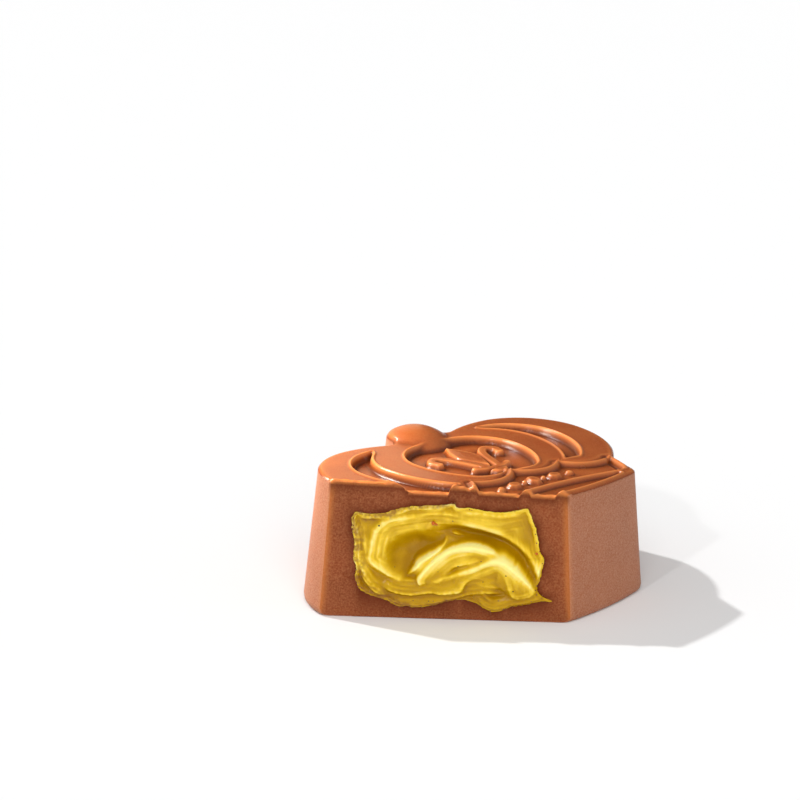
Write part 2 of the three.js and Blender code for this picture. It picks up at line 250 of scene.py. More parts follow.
def inside(x: Values, y: Values, outline: Points) -> Values:
    """Whether each point lies within a closed outline."""
    within = np.zeros(x.shape, bool)
    for (ax, ay), (bx, by) in zip(outline, np.roll(outline, -1, axis=0)):
        if ay == by:
            continue
        within ^= ((ay > y) != (by > y)) & (x < (bx - ax) * (y - ay) / (by - ay) + ax)
    return within


def depth_within(x: Values, y: Values, outline: Points, limit: float = 2.0) -> Values:
    """How far each point lies within a closed outline in mm, negative outside it."""
    closed = np.vstack([outline, outline[:1]])
    distance = np.minimum(reach(x, y, closed, limit).distance, limit)
    return np.where(inside(x, y, outline), distance, -distance)


@dataclass(frozen=True)
class HeightMap:
    """A surface's heights on a fine square grid."""

    low: tuple[float, float]
    cell: float
    values: Values

    @classmethod
    def sample(
        cls,
        low: tuple[float, float],
        high: tuple[float, float],
        cell: float,
        height: Callable[[Values, Values], Values],
    ) -> "HeightMap":
        """Takes the heights that a function gives over an area.

        Args:
            low: the area's lower corner in mm.
            high: its upper corner.
            cell: the distance between the grid's points.
            height: gives the height at points.

        Returns:
            The map.
        """
        columns, rows = (round((end - start) / cell) + 1 for start, end in zip(low, high))
        x, y = np.meshgrid(np.linspace(low[0], high[0], columns), np.linspace(low[1], high[1], rows))
        return cls(low, (high[0] - low[0]) / (columns - 1), height(x.ravel(), y.ravel()).reshape(x.shape))

    def at(self, x: Values, y: Values) -> Values:
        """The height at points, read between the grid's own."""
        rows, columns = self.values.shape
        u = np.clip((x - self.low[0]) / self.cell, 0, columns - 1.001)
        v = np.clip((y - self.low[1]) / self.cell, 0, rows - 1.001)
        i, j = u.astype(int), v.astype(int)
        a, b = u - i, v - j
        lower = self.values[j, i] * (1 - a) + self.values[j, i + 1] * a
        upper = self.values[j + 1, i] * (1 - a) + self.values[j + 1, i + 1] * a
        return lower * (1 - b) + upper * b

    def softened(self, width: float) -> "HeightMap":
        """The same surface, each place the mean of what lies within about `width` of it."""
        mean = self.values
        for _ in range(round(2 * (width / self.cell) ** 2)):
            wide = np.pad(mean, 1, mode="edge")
            wide = (wide[:-2] + 2 * wide[1:-1] + wide[2:]) / 4
            mean = (wide[:, :-2] + 2 * wide[:, 1:-1] + wide[:, 2:]) / 4
        return HeightMap(self.low, self.cell, mean)

    def crests(self, width: float) -> "HeightMap":
        """How far each place stands over the surface softened by `width`."""
        return HeightMap(self.low, self.cell, self.values - self.softened(width).values)


# ---------------------------------------------------------------- meshes


def new_object(name: str, bm: bmesh.types.BMesh) -> bpy.types.Object:
    """Ends a bmesh in a new object that stands at the origin."""
    mesh = bpy.data.meshes.new(name)
    bm.to_mesh(mesh)
    bm.free()
    made = bpy.data.objects.new(name, mesh)
    bpy.context.scene.collection.objects.link(made)
    return made


def coordinates(mesh: bpy.types.Mesh) -> Points:
    """The mesh's vertices as an array."""
    flat = np.empty(len(mesh.vertices) * 3)
    mesh.vertices.foreach_get("co", flat)
    return flat.reshape(-1, 3)


def set_coordinates(mesh: bpy.types.Mesh, points: Points) -> None:
    """Moves the mesh's vertices."""
    mesh.vertices.foreach_set("co", np.asarray(points, np.float32).ravel())
    mesh.update()


def set_attribute(mesh: bpy.types.Mesh, name: str, values: Values) -> None:
    """Stores one number for each vertex, for the material to read."""
    layer = mesh.attributes.new(name, "FLOAT", "POINT")
    layer.data.foreach_set("value", np.asarray(values, np.float32))


class Join(Enum):
    """How a tool solid changes a piece."""

    ADD = "UNION"
    CUT = "DIFFERENCE"
    KEEP_INSIDE = "INTERSECT"


def apply_solid(piece: bpy.types.Object, tool: bpy.types.Object, join: Join) -> None:
    """Joins or cuts a piece with a tool solid, which is removed.

    Args:
        piece: the closed solid to change.
        tool: the closed solid to change it with.
        join: what to do.
    """
    modifier = piece.modifiers.new("solid", "BOOLEAN")
    modifier.object = tool
    modifier.operation = join.value
    modifier.solver = "MANIFOLD"
    graph = bpy.context.evaluated_depsgraph_get()
    graph.update()
    result = bpy.data.meshes.new_from_object(piece.evaluated_get(graph))
    piece.modifiers.clear()
    before = piece.data
    piece.data = result
    bpy.data.meshes.remove(before)
    remove(tool)
    if not result.vertices:
        raise ValueError(f"nothing is left of {piece.name}")


def remove(obj: bpy.types.Object) -> None:
    """Removes a helper object with its mesh."""
    mesh = obj.data
    bpy.data.objects.remove(obj)
    bpy.data.meshes.remove(mesh)


def lofted_solid(name: str, sections: Sequence[Points]) -> bpy.types.Object:
    """A closed solid through outlines, from the bottom one to the top one.

    Args:
        name: the object's name.
        sections: outlines of equal point count, with x, y and z in mm.

    Returns:
        The solid.
    """
    bm = bmesh.new()
    index = bm.verts.layers.int.new("around")
    bmesh.ops.create_circle(bm, cap_ends=True, segments=len(sections[0]), radius=1)
    bm.verts.ensure_lookup_table()
    for number, vertex in enumerate(bm.verts):
        vertex[index] = number
        vertex.co = sections[0][number]
    base = bm.faces[:]
    lid = base
    for section in sections[1:]:
        made = bmesh.ops.extrude_face_region(bm, geom=lid)["geom"]
        if lid is not base:
            bmesh.ops.delete(bm, geom=lid, context="FACES_ONLY")
        lid = [part for part in made if isinstance(part, bmesh.types.BMFace)]
        for vertex in (part for part in made if isinstance(part, bmesh.types.BMVert)):
            vertex.co = section[vertex[index]]
    bmesh.ops.recalc_face_normals(bm, faces=bm.faces[:])
    return new_object(name, bm)


def surface_block(
    name: str,
    low: tuple[float, float],
    high: tuple[float, float],
    cell: float,
    height: Callable[[Values, Values], Values],
    floor: float,
) -> bpy.types.Object:
    """A closed block with a fine uneven top.

    Args:
        name: the object's name.
        low: the lower corner of its plan in mm.
        high: the upper corner.
        cell: the size of the top's cells in mm.
        height: gives the top's height at points of the plan.
        floor: the height of its flat underside.

    Returns:
        The block.
    """
    width, length = high[0] - low[0], high[1] - low[1]
    bm = bmesh.new()
    bmesh.ops.create_grid(bm, x_segments=round(width / cell), y_segments=round(length / cell), size=0.5)
    bmesh.ops.scale(bm, vec=(width, length, 1), verts=bm.verts[:])
    bmesh.ops.translate(bm, vec=((low[0] + high[0]) / 2, (low[1] + high[1]) / 2, 0), verts=bm.verts[:])
    top = bm.verts.layers.int.new("top")
    for vertex in bm.verts:
        vertex[top] = 1
    rim = [edge for edge in bm.edges if edge.is_boundary]
    skirt = bmesh.ops.extrude_edge_only(bm, edges=rim)["geom"]
    lower = [part for part in skirt if isinstance(part, bmesh.types.BMVert)]
    for vertex in lower:
        vertex[top] = 0
        vertex.co.z = floor
    bmesh.ops.contextual_create(bm, geom=[e for e in skirt if isinstance(e, bmesh.types.BMEdge)])
    bmesh.ops.recalc_face_normals(bm, faces=bm.faces[:])
    block = new_object(name, bm)
    points = coordinates(block.data)
    is_top = np.empty(len(points), np.int32)
    block.data.attributes["top"].data.foreach_get("value", is_top)
    chosen = is_top == 1
    points[chosen, 2] = height(points[chosen, 0], points[chosen, 1])
    set_coordinates(block.data, points)
    block.data.attributes.remove(block.data.attributes["top"])
    return block


# ---------------------------------------------------------------- the crown


@dataclass(frozen=True)
class CrownPlan:
    """The crown's outline, made of arcs on its +x side and their mirror images."""

    orb: Circle = Circle(0, 10.45, 3.2)
    lobe: Circle = Circle(9.8, 3.15, 7.8)
    crest: Circle = Circle(9.8, -3.05, 14.0)
    flank: Circle = Circle(4.6, 3.15, 13.0)
    hem: Circle = Circle(0, 24.95, 38.6)
    band_side: Circle = Circle(11.85, -9.5, 0)
    band_angle: float = math.radians(74)
    hem_corner: float = 1.3
    waist_fillet: float = 1.6
    valley_fillet: float = 1.0
    cavity_corner: float = 4.3
    cavity_dip: float = 3.0

    def side_crossing(self, grow: float, circle: Circle, radius: float, sign: int) -> Circle:
        """Where the band's side line, moved out by `grow`, enters (-1) or leaves (1) a circle."""
        ux, uy = math.cos(self.band_angle), math.sin(self.band_angle)
        px = self.band_side.x + uy * grow - circle.x
        py = self.band_side.y - ux * grow - circle.y
        b = px * ux + py * uy
        t = -b + sign * math.sqrt(b * b - (px * px + py * py - radius * radius))
        return Circle(circle.x + px + t * ux, circle.y + py + t * uy, 0)

    def half(self, grow: float, corner: float, with_orb: bool) -> Points:
        """The +x half of the outline, from the middle of the hem round to the middle of the top.

        Args:
            grow: how far the outline is moved out in mm.
            corner: how far in from the edges the hem corner's arc is centred.
            with_orb: ends on the orb, or else in a dip between the lobes.

        Returns:
            The half outline's points.
        """
        corner_arc = self.side_crossing(-corner, self.hem, self.hem.r - corner, -1)
        waist = self.side_crossing(
            grow + self.waist_fillet, self.flank, self.flank.r + grow + self.waist_fillet, -1
        )
        outward = self.band_angle - QUARTER_TURN
        turned = outward + math.pi
        parts = [
            arc(self.hem, self.hem.r + grow, -QUARTER_TURN, bearing(self.hem, corner_arc), 30),
            arc(corner_arc, corner + grow, bearing(self.hem, corner_arc), outward, 8),
            arc(waist, self.waist_fillet, turned, clockwise(turned, bearing(waist, self.flank)), 8),
            arc(self.flank, self.flank.r + grow, bearing(self.flank, waist), 0, 30)[1:],
            arc(self.lobe, self.lobe.r + grow, 0, QUARTER_TURN, 40)[1:],
        ]
        if with_orb:
            valley = self.crossing(
                self.crest, self.crest.r + grow + self.valley_fillet,
                self.orb, self.orb.r + grow + self.valley_fillet,
            )
            turn_in = bearing(valley, self.crest)
            end = clockwise(turn_in, bearing(valley, self.orb))
            parts += [
                arc(self.crest, self.crest.r + grow, QUARTER_TURN, bearing(self.crest, valley), 12)[1:],
                arc(valley, self.valley_fillet, turn_in, end, 8)[1:],
                arc(self.orb, self.orb.r + grow, bearing(self.orb, valley), QUARTER_TURN, 20)[1:],
            ]
        else:
            span = self.crest.r + grow + self.cavity_dip
            dip = Circle(0, self.crest.y + math.sqrt(span**2 - self.crest.x**2), 0)
            parts += [
                arc(self.crest, self.crest.r + grow, QUARTER_TURN, bearing(self.crest, dip), 12)[1:],
                arc(dip, self.cavity_dip, bearing(dip, self.crest), -QUARTER_TURN, 8)[1:],
            ]
        return np.vstack(parts)

    @staticmethod
    def crossing(first: Circle, reach_a: float, second: Circle, reach_b: float) -> Circle:
        """The crossing of two circles that lies right of the way from the first to the second."""
        dx, dy = second.x - first.x, second.y - first.y
        distance = math.hypot(dx, dy)
        along = (reach_a**2 - reach_b**2 + distance**2) / (2 * distance)
        aside = math.sqrt(reach_a**2 - along**2)
        x = first.x + (along * dx + aside * dy) / distance
        y = first.y + (along * dy - aside * dx) / distance
        return Circle(x, y, 0)

    def outline(self, grow: float = 0.0) -> Points:
        """The whole closed outline, moved out by `grow`."""
        return mirrored(self.half(grow, self.hem_corner, True))

    def cavity(self, grow: float) -> Points:
        """The closed outline of the space for the filling."""
        return mirrored(self.half(grow, self.cavity_corner, False))


def garland(start: Sequence[float], end: Sequence[float], sag: float, steps: int) -> Points:
    """An arc that sags below the straight line between two points."""
    p, q = np.asarray(start, float), np.asarray(end, float)
    half = float(np.hypot(*(q - p))) / 2
    radius = (half**2 + sag**2) / (2 * sag)
    across = (q - p) / (2 * half)
    centre = (p + q) / 2 + np.array([-across[1], across[0]]) * (radius - sag)
    circle = Circle(float(centre[0]), float(centre[1]), radius)
    first, last = (math.atan2(*(point - centre)[::-1]) for point in (p, q))
    if last < first:
        last += 2 * math.pi
    return arc(circle, radius, first, last, steps)


@dataclass(frozen=True)
class Jewel:
    """A pearl or cut stone of the crown's band: its place across it and its half sizes."""

    place: float
    wide: float
    long: float
    is_cut: bool = False


@dataclass(frozen=True)
class Relief:
    """The moulded relief on the crown's top, in mm above its base.

    Each wall is given by the places within its outline where it starts and ends. `bead` is the
    thin lip round a recess, `groove` the hollow beside a ridge, and a bow bends a row back towards
    its ends. `lens_turn` is in radians, and the numbers of a jewel's form are in its half sizes.
    """

    plan: CrownPlan = CrownPlan()
    level: float = 14.1
    window_depth: float = 0.75
    band_depth: float = 0.42
    lens_depth: float = 0.4
    wall: tuple[float, float] = (-0.04, 0.24)
    band_wall: tuple[float, float] = (0.05, 0.35)
    bead: float = 0.15
    bead_width: float = 0.15
    bead_place: float = 0.2
    swag_rise: float = 0.18
    swag_sag: float = 1.4
    swag_peaks: tuple[float, ...] = (-12.1, -6.2, 0, 6.2, 12.1)
    swag_top: float = -4.45
    swag_bow: float = 0.0182
    hem_rise: float = 0.12
    hem_half: float = 9.6
    hem_middle: float = -10.4
    hem_bow: float = 0.0095
    hem_end: Line = ((10.5, -11.15), (11.1, -10.3), (11.5, -9.15), (12.1, -7.15))
    groove: float = 0.16
    groove_place: float = 0.62
    groove_width: float = 0.24
    ridge_half: float = 0.34
    ridge_fall: float = 0.3
    ridge_fillet: float = 0.08
    lens_edge: float = 0.7
    lens_turn: float = 0.24
    lens_half: float = 9.0
    ornament_rise: float = 0.6
    ornament_foot: float = 0.06
    ornament_crown: float = 0.06
    fillet: float = 0.04
    petal: Line = ((0, -1.7), (0.8, 0.0), (1.4, 1.5), (1.5, 2.6), (1.0, 4.3), (0.0, 6.0))
    clasp: Line = ((-2.3, -1.5), (-1.2, -1.95), (0, -2.1), (1.2, -1.95), (2.3, -1.5))
    stem: Line = ((0, -4.0), (0.85, -3.4), (1.35, -2.6), (0, -2.3), (-1.35, -2.6), (-0.85, -3.4))
    curl: Line = ((0.9, -1.6), (1.6, 0.6), (2.5, 2.6), (3.6, 3.5), (4.5, 2.9), (4.35, 1.9))
    clasp_half: float = 0.48
    curl_half: float = 0.6
    orb_rise: float = 1.2
    orb_overhang: float = 0.15
    orb_skirt: float = 0.6
    orb_fillet: float = 0.25
    jewel_middle: float = -7.95
    jewel_bow: float = 0.012
    jewel_rise: float = 0.5
    jewel_sunk: float = 0.03
    jewel_foot: float = 1.06
    jewel_bevel: float = 0.45
    jewel_corner: float = 0.72
    jewels: tuple[Jewel, ...] = (
        Jewel(-4.9, 0.5, 0.5),
        Jewel(-2.9, 0.95, 0.85, is_cut=True),
        Jewel(-1.35, 0.34, 0.34),
        Jewel(0, 0.85, 1.15, is_cut=True),
        Jewel(1.35, 0.34, 0.34),
        Jewel(2.9, 0.95, 0.85, is_cut=True),
        Jewel(4.9, 0.5, 0.5),
    )

    def crescent(self) -> Points:
        """The recess in the +x lobe."""
        return np.vstack([
            arc(Circle(8.0, 3.25, 0), 5.6, 1.62, 0, 16),
            arc(Circle(3.0, 3.25, 0), 10.6, 0, -math.asin(8.3 / 10.6), 16)[1:],
            arc(Circle(-1.1, 3.05, 0), 11.9, -math.asin(7.9 / 11.9), 0, 16),
            arc(Circle(4.4, 3.05, 0), 6.4, 0, 0.95, 14)[1:],
        ])

    def window(self) -> Points:
        """The recess between the arches, above the garlands."""
        return mirrored(np.vstack([
            garland((0, -3.45), (4.4, -3.95), 0.95, 10),
            arc(Circle(-2.35, 2.45, 0), 9.3, -math.asin(6.4 / 9.3), 0, 14)[1:],
            arc(Circle(1.92, 2.45, 0), 5.03, 0, QUARTER_TURN, 16)[1:],
        ]))

    def swags(self) -> Points:
        """The line of the garlands from side to side."""
        peaks = [(x, self.swag_top - self.swag_bow * x * x) for x in self.swag_peaks]
        spans = [garland(p, q, self.swag_sag, 14) for p, q in zip(peaks, peaks[1:])]
        return np.vstack([spans[0], *(span[1:] for span in spans[1:])])

    def hem(self) -> Points:
        """The line of the ridge along the hem, which turns up at both ends."""
        x = np.linspace(-self.hem_half, self.hem_half, 33)
        turn_up = np.array(self.hem_end)
        bow = np.column_stack([x, self.hem_middle - self.hem_bow * x * x])
        return np.vstack([turn_up[::-1] * [-1, 1], bow, turn_up])

    def lens(self) -> Points:
        """The low strip between the hem ridge and the rim."""
        rim, ridge, turn = self.plan.hem, self.hem(), self.lens_turn
        return np.vstack([
            arc(rim, rim.r - self.lens_edge, -QUARTER_TURN - turn, -QUARTER_TURN + turn, 24),
            ridge[np.abs(ridge[:, 0]) < self.lens_half][::-1],
        ])

    def height(self, x: Values, y: Values) -> Values:
        """The top's height at points of the plan.

        Args:
            x: across the crown in mm.
            y: from hem to orb.

        Returns:
            The height above the base before the crown's slope.
        """
        z = np.full(x.shape, self.level)
        crescent = self.crescent()
        recesses = [
            (crescent, self.window_depth),
            (crescent * [-1, 1], self.window_depth),
            (self.window(), self.window_depth),
            (self.lens(), self.lens_depth),
        ]
        for outline, depth in recesses:
            within = depth_within(x, y, outline)
            z += self.bead * bell(within + self.bead_place, self.bead_width)
            z -= depth * smooth_step(within, *self.wall)
        swags, hem = self.swags(), self.hem()
        band = np.vstack([hem, swags[-2:0:-1]])
        z -= self.band_depth * smooth_step(depth_within(x, y, band), *self.band_wall)
        for line, rise in ((swags, self.swag_rise), (hem, self.hem_rise)):
            at = reach(x, y, line, 2.5)
            inner = np.where(at.side > 0, at.distance, FAR)
            z -= self.groove * bell(inner - self.groove_place, self.groove_width)
            ridge = self.level + rise - self.ridge_fall * (at.distance / self.ridge_half) ** 2
            z = soft_max(z, ridge, self.ridge_fillet)
        z = self.add_lily(x, y, z)
        z = self.add_jewels(x, y, z)
        return self.add_orb(x, y, z)

    def add_lily(self, x: Values, y: Values, z: Values) -> Values:
        """Raises the lily of three petals, a clasp and a stem on the floor of the window."""
        floor = self.level - self.window_depth
        petal = mirrored(smooth_line(self.petal, 6))
        clasp, curl = smooth_line(self.clasp, 6), smooth_line(self.curl)
        strokes = [  # how far within the stroke, and how wide its wall is
            (depth_within(x, y, petal), 0.25),
            (self.clasp_half - reach(x, y, clasp, 2).distance, 0.175),
            (depth_within(x, y, np.array(self.stem)), 0.2),
            (self.curl_half - reach(x, y, curl, 2).distance, 0.21),
            (self.curl_half - reach(x, y, curl * [-1, 1], 2).distance, 0.21),
        ]
        for within, wall in strokes:
            raised = self.ornament_rise * smooth_step(within, -self.ornament_foot, wall)
            crowned = floor + raised + self.ornament_crown * np.clip(within, 0, 1.2)
            z = np.where(within > -self.ornament_foot, soft_max(z, crowned, self.fillet), z)
        return z

    def add_jewels(self, x: Values, y: Values, z: Values) -> Values:
        """Raises the row of cut stones with pearls between them on the floor of the band."""
        floor = self.level - self.band_depth
        for jewel in self.jewels:
            across = np.abs(x - jewel.place) / jewel.wide
            along = np.abs(y - self.jewel_middle + self.jewel_bow * jewel.place**2) / jewel.long
            if jewel.is_cut:
                off = np.maximum(np.maximum(across, along), (across + along) * self.jewel_corner)
                form = np.clip((self.jewel_foot - off) / self.jewel_bevel, 0, 1)
            else:
                off = np.hypot(across, along)
                form = np.sqrt(np.clip(self.jewel_foot - off**2, 0, 1))
            raised = floor + self.jewel_rise * form - self.jewel_sunk
            z = np.where(off < 1.1, soft_max(z, raised, self.fillet), z)
        return z

    def add_orb(self, x: Values, y: Values, z: Values) -> Values:
        """Raises the dome of the orb."""
        orb = self.plan.orb
        rim = orb.r + self.orb_overhang
        sphere = (rim**2 + self.orb_rise**2) / (2 * self.orb_rise)
        off = np.hypot(x - orb.x, y - orb.y)
        dome = self.level + self.orb_rise - sphere + np.sqrt(np.clip(sphere**2 - off**2, 0.01, None))
        return np.where(off < rim + self.orb_skirt, soft_max(z, dome, self.orb_fillet), z)


# ---------------------------------------------------------------- materials


def linear(colour: str) -> tuple[float, float, float, float]:
    """An sRGB hex colour as linear red, green, blue and alpha."""
    parts = [int(colour[i : i + 2], 16) / 255 for i in (1, 3, 5)]
    return (*(c / 12.92 if c <= 0.04045 else ((c + 0.055) / 1.055) ** 2.4 for c in parts), 1.0)


def add_node(
    tree: bpy.types.NodeTree,
    kind: str,
    settings: Mapping[str | int, object] | None = None,
    links: Mapping[str | int, bpy.types.NodeSocket] | None = None,
) -> bpy.types.Node:
    """Adds a node with its settings and links.

    Args:
        tree: the tree to add it to.
        kind: the node's type name.
        settings: values by the name of an input socket, or else of a property.
        links: output sockets by the name or number of the input that they feed.

    Returns:
        The node.
    """
    node = tree.nodes.new(kind)
    for name, value in (settings or {}).items():
        if isinstance(name, str) and hasattr(node, name):
            setattr(node, name, value)
        else:
            node.inputs[name].default_value = value
    for name, socket in (links or {}).items():
        tree.links.new(socket, node.inputs[name])
    return node


def ramp(node: bpy.types.Node, stops: Sequence[tuple[float, str]]) -> None:
    """Sets the stops of a colour ramp, at least two of them."""
    elements = node.color_ramp.elements
    while len(elements) < len(stops):
        elements.new(0.5)
    for element, (place, colour) in zip(elements, stops):
        element.position = place
        element.color = linear(colour)


def new_material(name: str) -> tuple[bpy.types.Material, bpy.types.NodeTree, bpy.types.Node]:
    """A material with only its output node, the tree and that node."""
    material = bpy.data.materials.new(name)
    material.use_nodes = True
    tree = material.node_tree
    tree.nodes.clear()
    return material, tree, tree.nodes.new("ShaderNodeOutputMaterial")


def grain_scale(size_mm: float) -> float:
    """The scale of a noise on coordinates in metres whose grains measure `size_mm`."""
    return 1.0 / (size_mm * MM)


def tint(
    tree: bpy.types.NodeTree, colour: bpy.types.NodeSocket, share: bpy.types.NodeSocket, other: str
) -> bpy.types.NodeSocket:
    """Mixes a share of another colour into one."""
    mix = add_node(tree, "ShaderNodeMix", {"data_type": "RGBA"}, {"Factor": share, 6: colour})
    mix.inputs[7].default_value = linear(other)
    return mix.outputs[2]


@dataclass(frozen=True)
class ChocolateFinish:
    """Milk chocolate: tempered cocoa butter with milk solids, satin where the mould polished it.

    The shade drifts between `shade` and `warm`, `bloom` dusts it, `crest` is the colour of the
    painted highlight on thin edges, and the last colour that of the painted shade at the feet of the
    relief, of the oil stain and of the dark band on the cut. `gloss` is the shader's specular level.
    """

    name: str
    shade: str
    warm: str
    bloom: str
    crest: str
    shade_and_darkening_colour: str
    roughness: float
    gloss: float
    grain_mm: float
    grain_depth_mm: float
    wave_depth_mm: float

    def make(self) -> bpy.types.Material:
        """Makes the material.

        Returns:
            The material, with a grain of the milk solids, a broad drift of its shade, a thin
            lighter bloom, a painted highlight on thin edges, painted shade at the feet of the relief,
            and darker places where the cream's oil soaked in and in a band right below the top of the
            cut.
        """
        material, tree, output = new_material(self.name)
        place = add_node(tree, "ShaderNodeTexCoord").outputs["Object"]
        broad = add_node(
            tree, "ShaderNodeTexNoise", {"Scale": grain_scale(5.0), "Detail": 3.0}, {"Vector": place}
        )
        drift = add_node(tree, "ShaderNodeValToRGB", None, {"Fac": broad.outputs["Fac"]})
        ramp(drift, [(0.3, self.shade), (0.7, self.warm)])
        grain = add_node(
            tree,
            "ShaderNodeTexNoise",
            {"Scale": grain_scale(self.grain_mm), "Detail": 4.0, "Roughness": 0.65},
            {"Vector": place},
        )
        dust = add_node(
            tree,
            "ShaderNodeMapRange",
            {"From Min": 0.36, "From Max": 0.76, "To Min": 0.0, "To Max": 0.7},
            {"Value": grain.outputs["Fac"]},
        )
        colour = tint(tree, drift.outputs["Color"], dust.outputs["Result"], self.bloom)
        # the crest attribute paints a highlight on thin edges; the other paints shade at the feet of the
        # relief and darkens the cut
        for name, other in (("crest", self.crest), ("painted_shade_and_cut_darkening", self.shade_and_darkening_colour)):
            share = add_node(tree, "ShaderNodeAttribute", {"attribute_name": name})
            colour = tint(tree, colour, share.outputs["Fac"], other)
        rough = add_node(
            tree,
            "ShaderNodeMapRange",
            {"To Min": self.roughness - 0.07, "To Max": self.roughness + 0.09},
            {"Value": broad.outputs["Fac"]},
        )
        waves = add_node(
            tree, "ShaderNodeTexNoise", {"Scale": grain_scale(1.6), "Detail": 2.0}, {"Vector": place}
        )
        soft = add_node(
            tree,
            "ShaderNodeBump",
            {"Strength": 1.0, "Distance": self.wave_depth_mm * MM},
            {"Height": waves.outputs["Fac"]},
        )
        fine = add_node(
            tree,
            "ShaderNodeBump",
            {"Strength": 1.0, "Distance": self.grain_depth_mm * MM},
            {"Height": grain.outputs["Fac"], "Normal": soft.outputs["Normal"]},
        )
        shader = add_node(
            tree,
            "ShaderNodeBsdfPrincipled",
            {
                "IOR": 1.46,  # cocoa butter
                "Specular IOR Level": self.gloss,
                "Subsurface Weight": 0.3,
                "Subsurface Radius": (1.0, 0.4, 0.2),
                "Subsurface Scale": 0.35 * MM,
            },
            {
                "Base Color": colour,
                "Roughness": rough.outputs["Result"],
                "Normal": fine.outputs["Normal"],
            },
        )
        tree.links.new(shader.outputs["BSDF"], output.inputs["Surface"])
        return material


# In each finish below, the fourth colour is a painted highlight on thin edges, and the last one a painted
# shade at the feet of the relief, also used for the oil stain and dark band on the cut.
# Tempered milk chocolate released from a polished mould: satin, warm brown.
MOULDED_TOP = ChocolateFinish(
    name="moulded milk chocolate",
    shade="#8b421b", warm="#9b5023", bloom="#aa5f33", crest="#e08a48", shade_and_darkening_colour="#511e06",
    roughness=0.23, gloss=0.42, grain_mm=0.16, grain_depth_mm=0.008, wave_depth_mm=0.02,
)
# The mould's side walls: the same chocolate, duller, with a fine bloom.
MOULDED_SIDE = ChocolateFinish(
    name="milk chocolate of the side wall",
    shade="#985736", warm="#a56647", bloom="#c39274", crest="#d08a5a", shade_and_darkening_colour="#7a3d1a",
    roughness=0.5, gloss=0.25, grain_mm=0.17, grain_depth_mm=0.025, wave_depth_mm=0.02,
)
# The face that the knife left: open grain of milk solids and sugar, matt and redder.
CUT_FACE = ChocolateFinish(
    name="cut milk chocolate",
    shade="#763616", warm="#88411f", bloom="#b4734a", crest="#d8823f", shade_and_darkening_colour="#5c2000",
    roughness=0.6, gloss=0.2, grain_mm=0.2, grain_depth_mm=0.05, wave_depth_mm=0.04,
)


@dataclass(frozen=True)
class CreamFinish:
    """Whipped nut and egg cream: fat and air, so it glows a little, with a wet sheen."""

    name: str = "whipped cream filling"
    # the ramp from painted shade in the hollows to a painted highlight on the crests
    deep: str = "#a67a00"
    low: str = "#c89e04"
    middle: str = "#eac632"
    crest: str = "#fbee98"
    film: str = "#8a5a24"

    def make(self) -> bpy.types.Material:
        """Makes the material.

        Returns:
            The material, pale on the crests, deep yellow in the hollows and browner where the
            chocolate shows through its thin film, with a fine wet grain.
        """
        material, tree, output = new_material(self.name)
        place = add_node(tree, "ShaderNodeTexCoord").outputs["Object"]
        # painted light and shade of the cream, from its attribute
        height = add_node(tree, "ShaderNodeAttribute", {"attribute_name": "painted_light_and_shade"}).outputs["Fac"]
        tone = add_node(tree, "ShaderNodeValToRGB", None, {"Fac": height})
        ramp(tone, [(0.0, self.deep), (0.35, self.low), (0.6, self.middle), (1.0, self.crest)])
        thin = add_node(tree, "ShaderNodeAttribute", {"attribute_name": "thin"}).outputs["Fac"]
        colour = tint(tree, tone.outputs["Color"], thin, self.film)
        grain = add_node(
            tree,
            "ShaderNodeTexNoise",
            {"Scale": grain_scale(0.35), "Detail": 5.0, "Roughness": 0.6},
            {"Vector": place},
        )
        rough = add_node(
            tree,
            "ShaderNodeMapRange",
            {"To Min": 0.14, "To Max": 0.34},
            {"Value": grain.outputs["Fac"]},
        )
        bump = add_node(
            tree,
            "ShaderNodeBump",
            {"Strength": 1.0, "Distance": 0.03 * MM},
            {"Height": grain.outputs["Fac"]},
        )
        shader = add_node(
            tree,
            "ShaderNodeBsdfPrincipled",
            {
                "IOR": 1.45,  # milk fat and nut oil
                "Specular IOR Level": 0.32,
                "Subsurface Weight": 0.5,
                "Subsurface Radius": (1.0, 0.75, 0.2),
                "Subsurface Scale": 0.4 * MM,
            },
            {
                "Base Color": colour,
                "Roughness": rough.outputs["Result"],
                "Normal": bump.outputs["Normal"],
            },
        )
        tree.links.new(shader.outputs["BSDF"], output.inputs["Surface"])
        return material


@dataclass(frozen=True)
class BitFinish:
    """Small bits in the cream or on the cut: ground nut skin or chocolate dust."""

    name: str
    shade: str
    roughness: float

    def make(self) -> bpy.types.Material:
        """Makes the material, with a fine drift of its shade."""
        material, tree, output = new_material(self.name)
        place = add_node(tree, "ShaderNodeTexCoord").outputs["Object"]
        noise = add_node(
            tree, "ShaderNodeTexNoise", {"Scale": grain_scale(0.2), "Detail": 2.0}, {"Vector": place}
        )
        value = add_node(
            tree, "ShaderNodeMapRange", {"To Min": 0.6, "To Max": 1.4}, {"Value": noise.outputs["Fac"]}
        )
        drift = add_node(
            tree,
            "ShaderNodeHueSaturation",
            {"Color": linear(self.shade)},
            {"Value": value.outputs["Result"]},
        )
        shader = add_node(
            tree,
            "ShaderNodeBsdfPrincipled",
            {"Roughness": self.roughness, "IOR": 1.46},
            {"Base Color": drift.outputs["Color"]},
        )
        tree.links.new(shader.outputs["BSDF"], output.inputs["Surface"])
        return material


# The skin that is ground along with the nuts: dark specks, dull.
GROUND_NUT_SKIN = BitFinish("ground nut skin", "#3a2408", 0.6)
# A flake of roasted nut: orange brown, with a little oil on it.
ROASTED_NUT_SKIN = BitFinish("roasted nut skin", "#c4641a", 0.45)
# Crumbs of the shell's own chocolate that the knife broke off: matt.
CHOCOLATE_CRUMB = BitFinish("milk chocolate crumb", "#7a3e1c", 0.55)


# ---------------------------------------------------------------- the chocolate


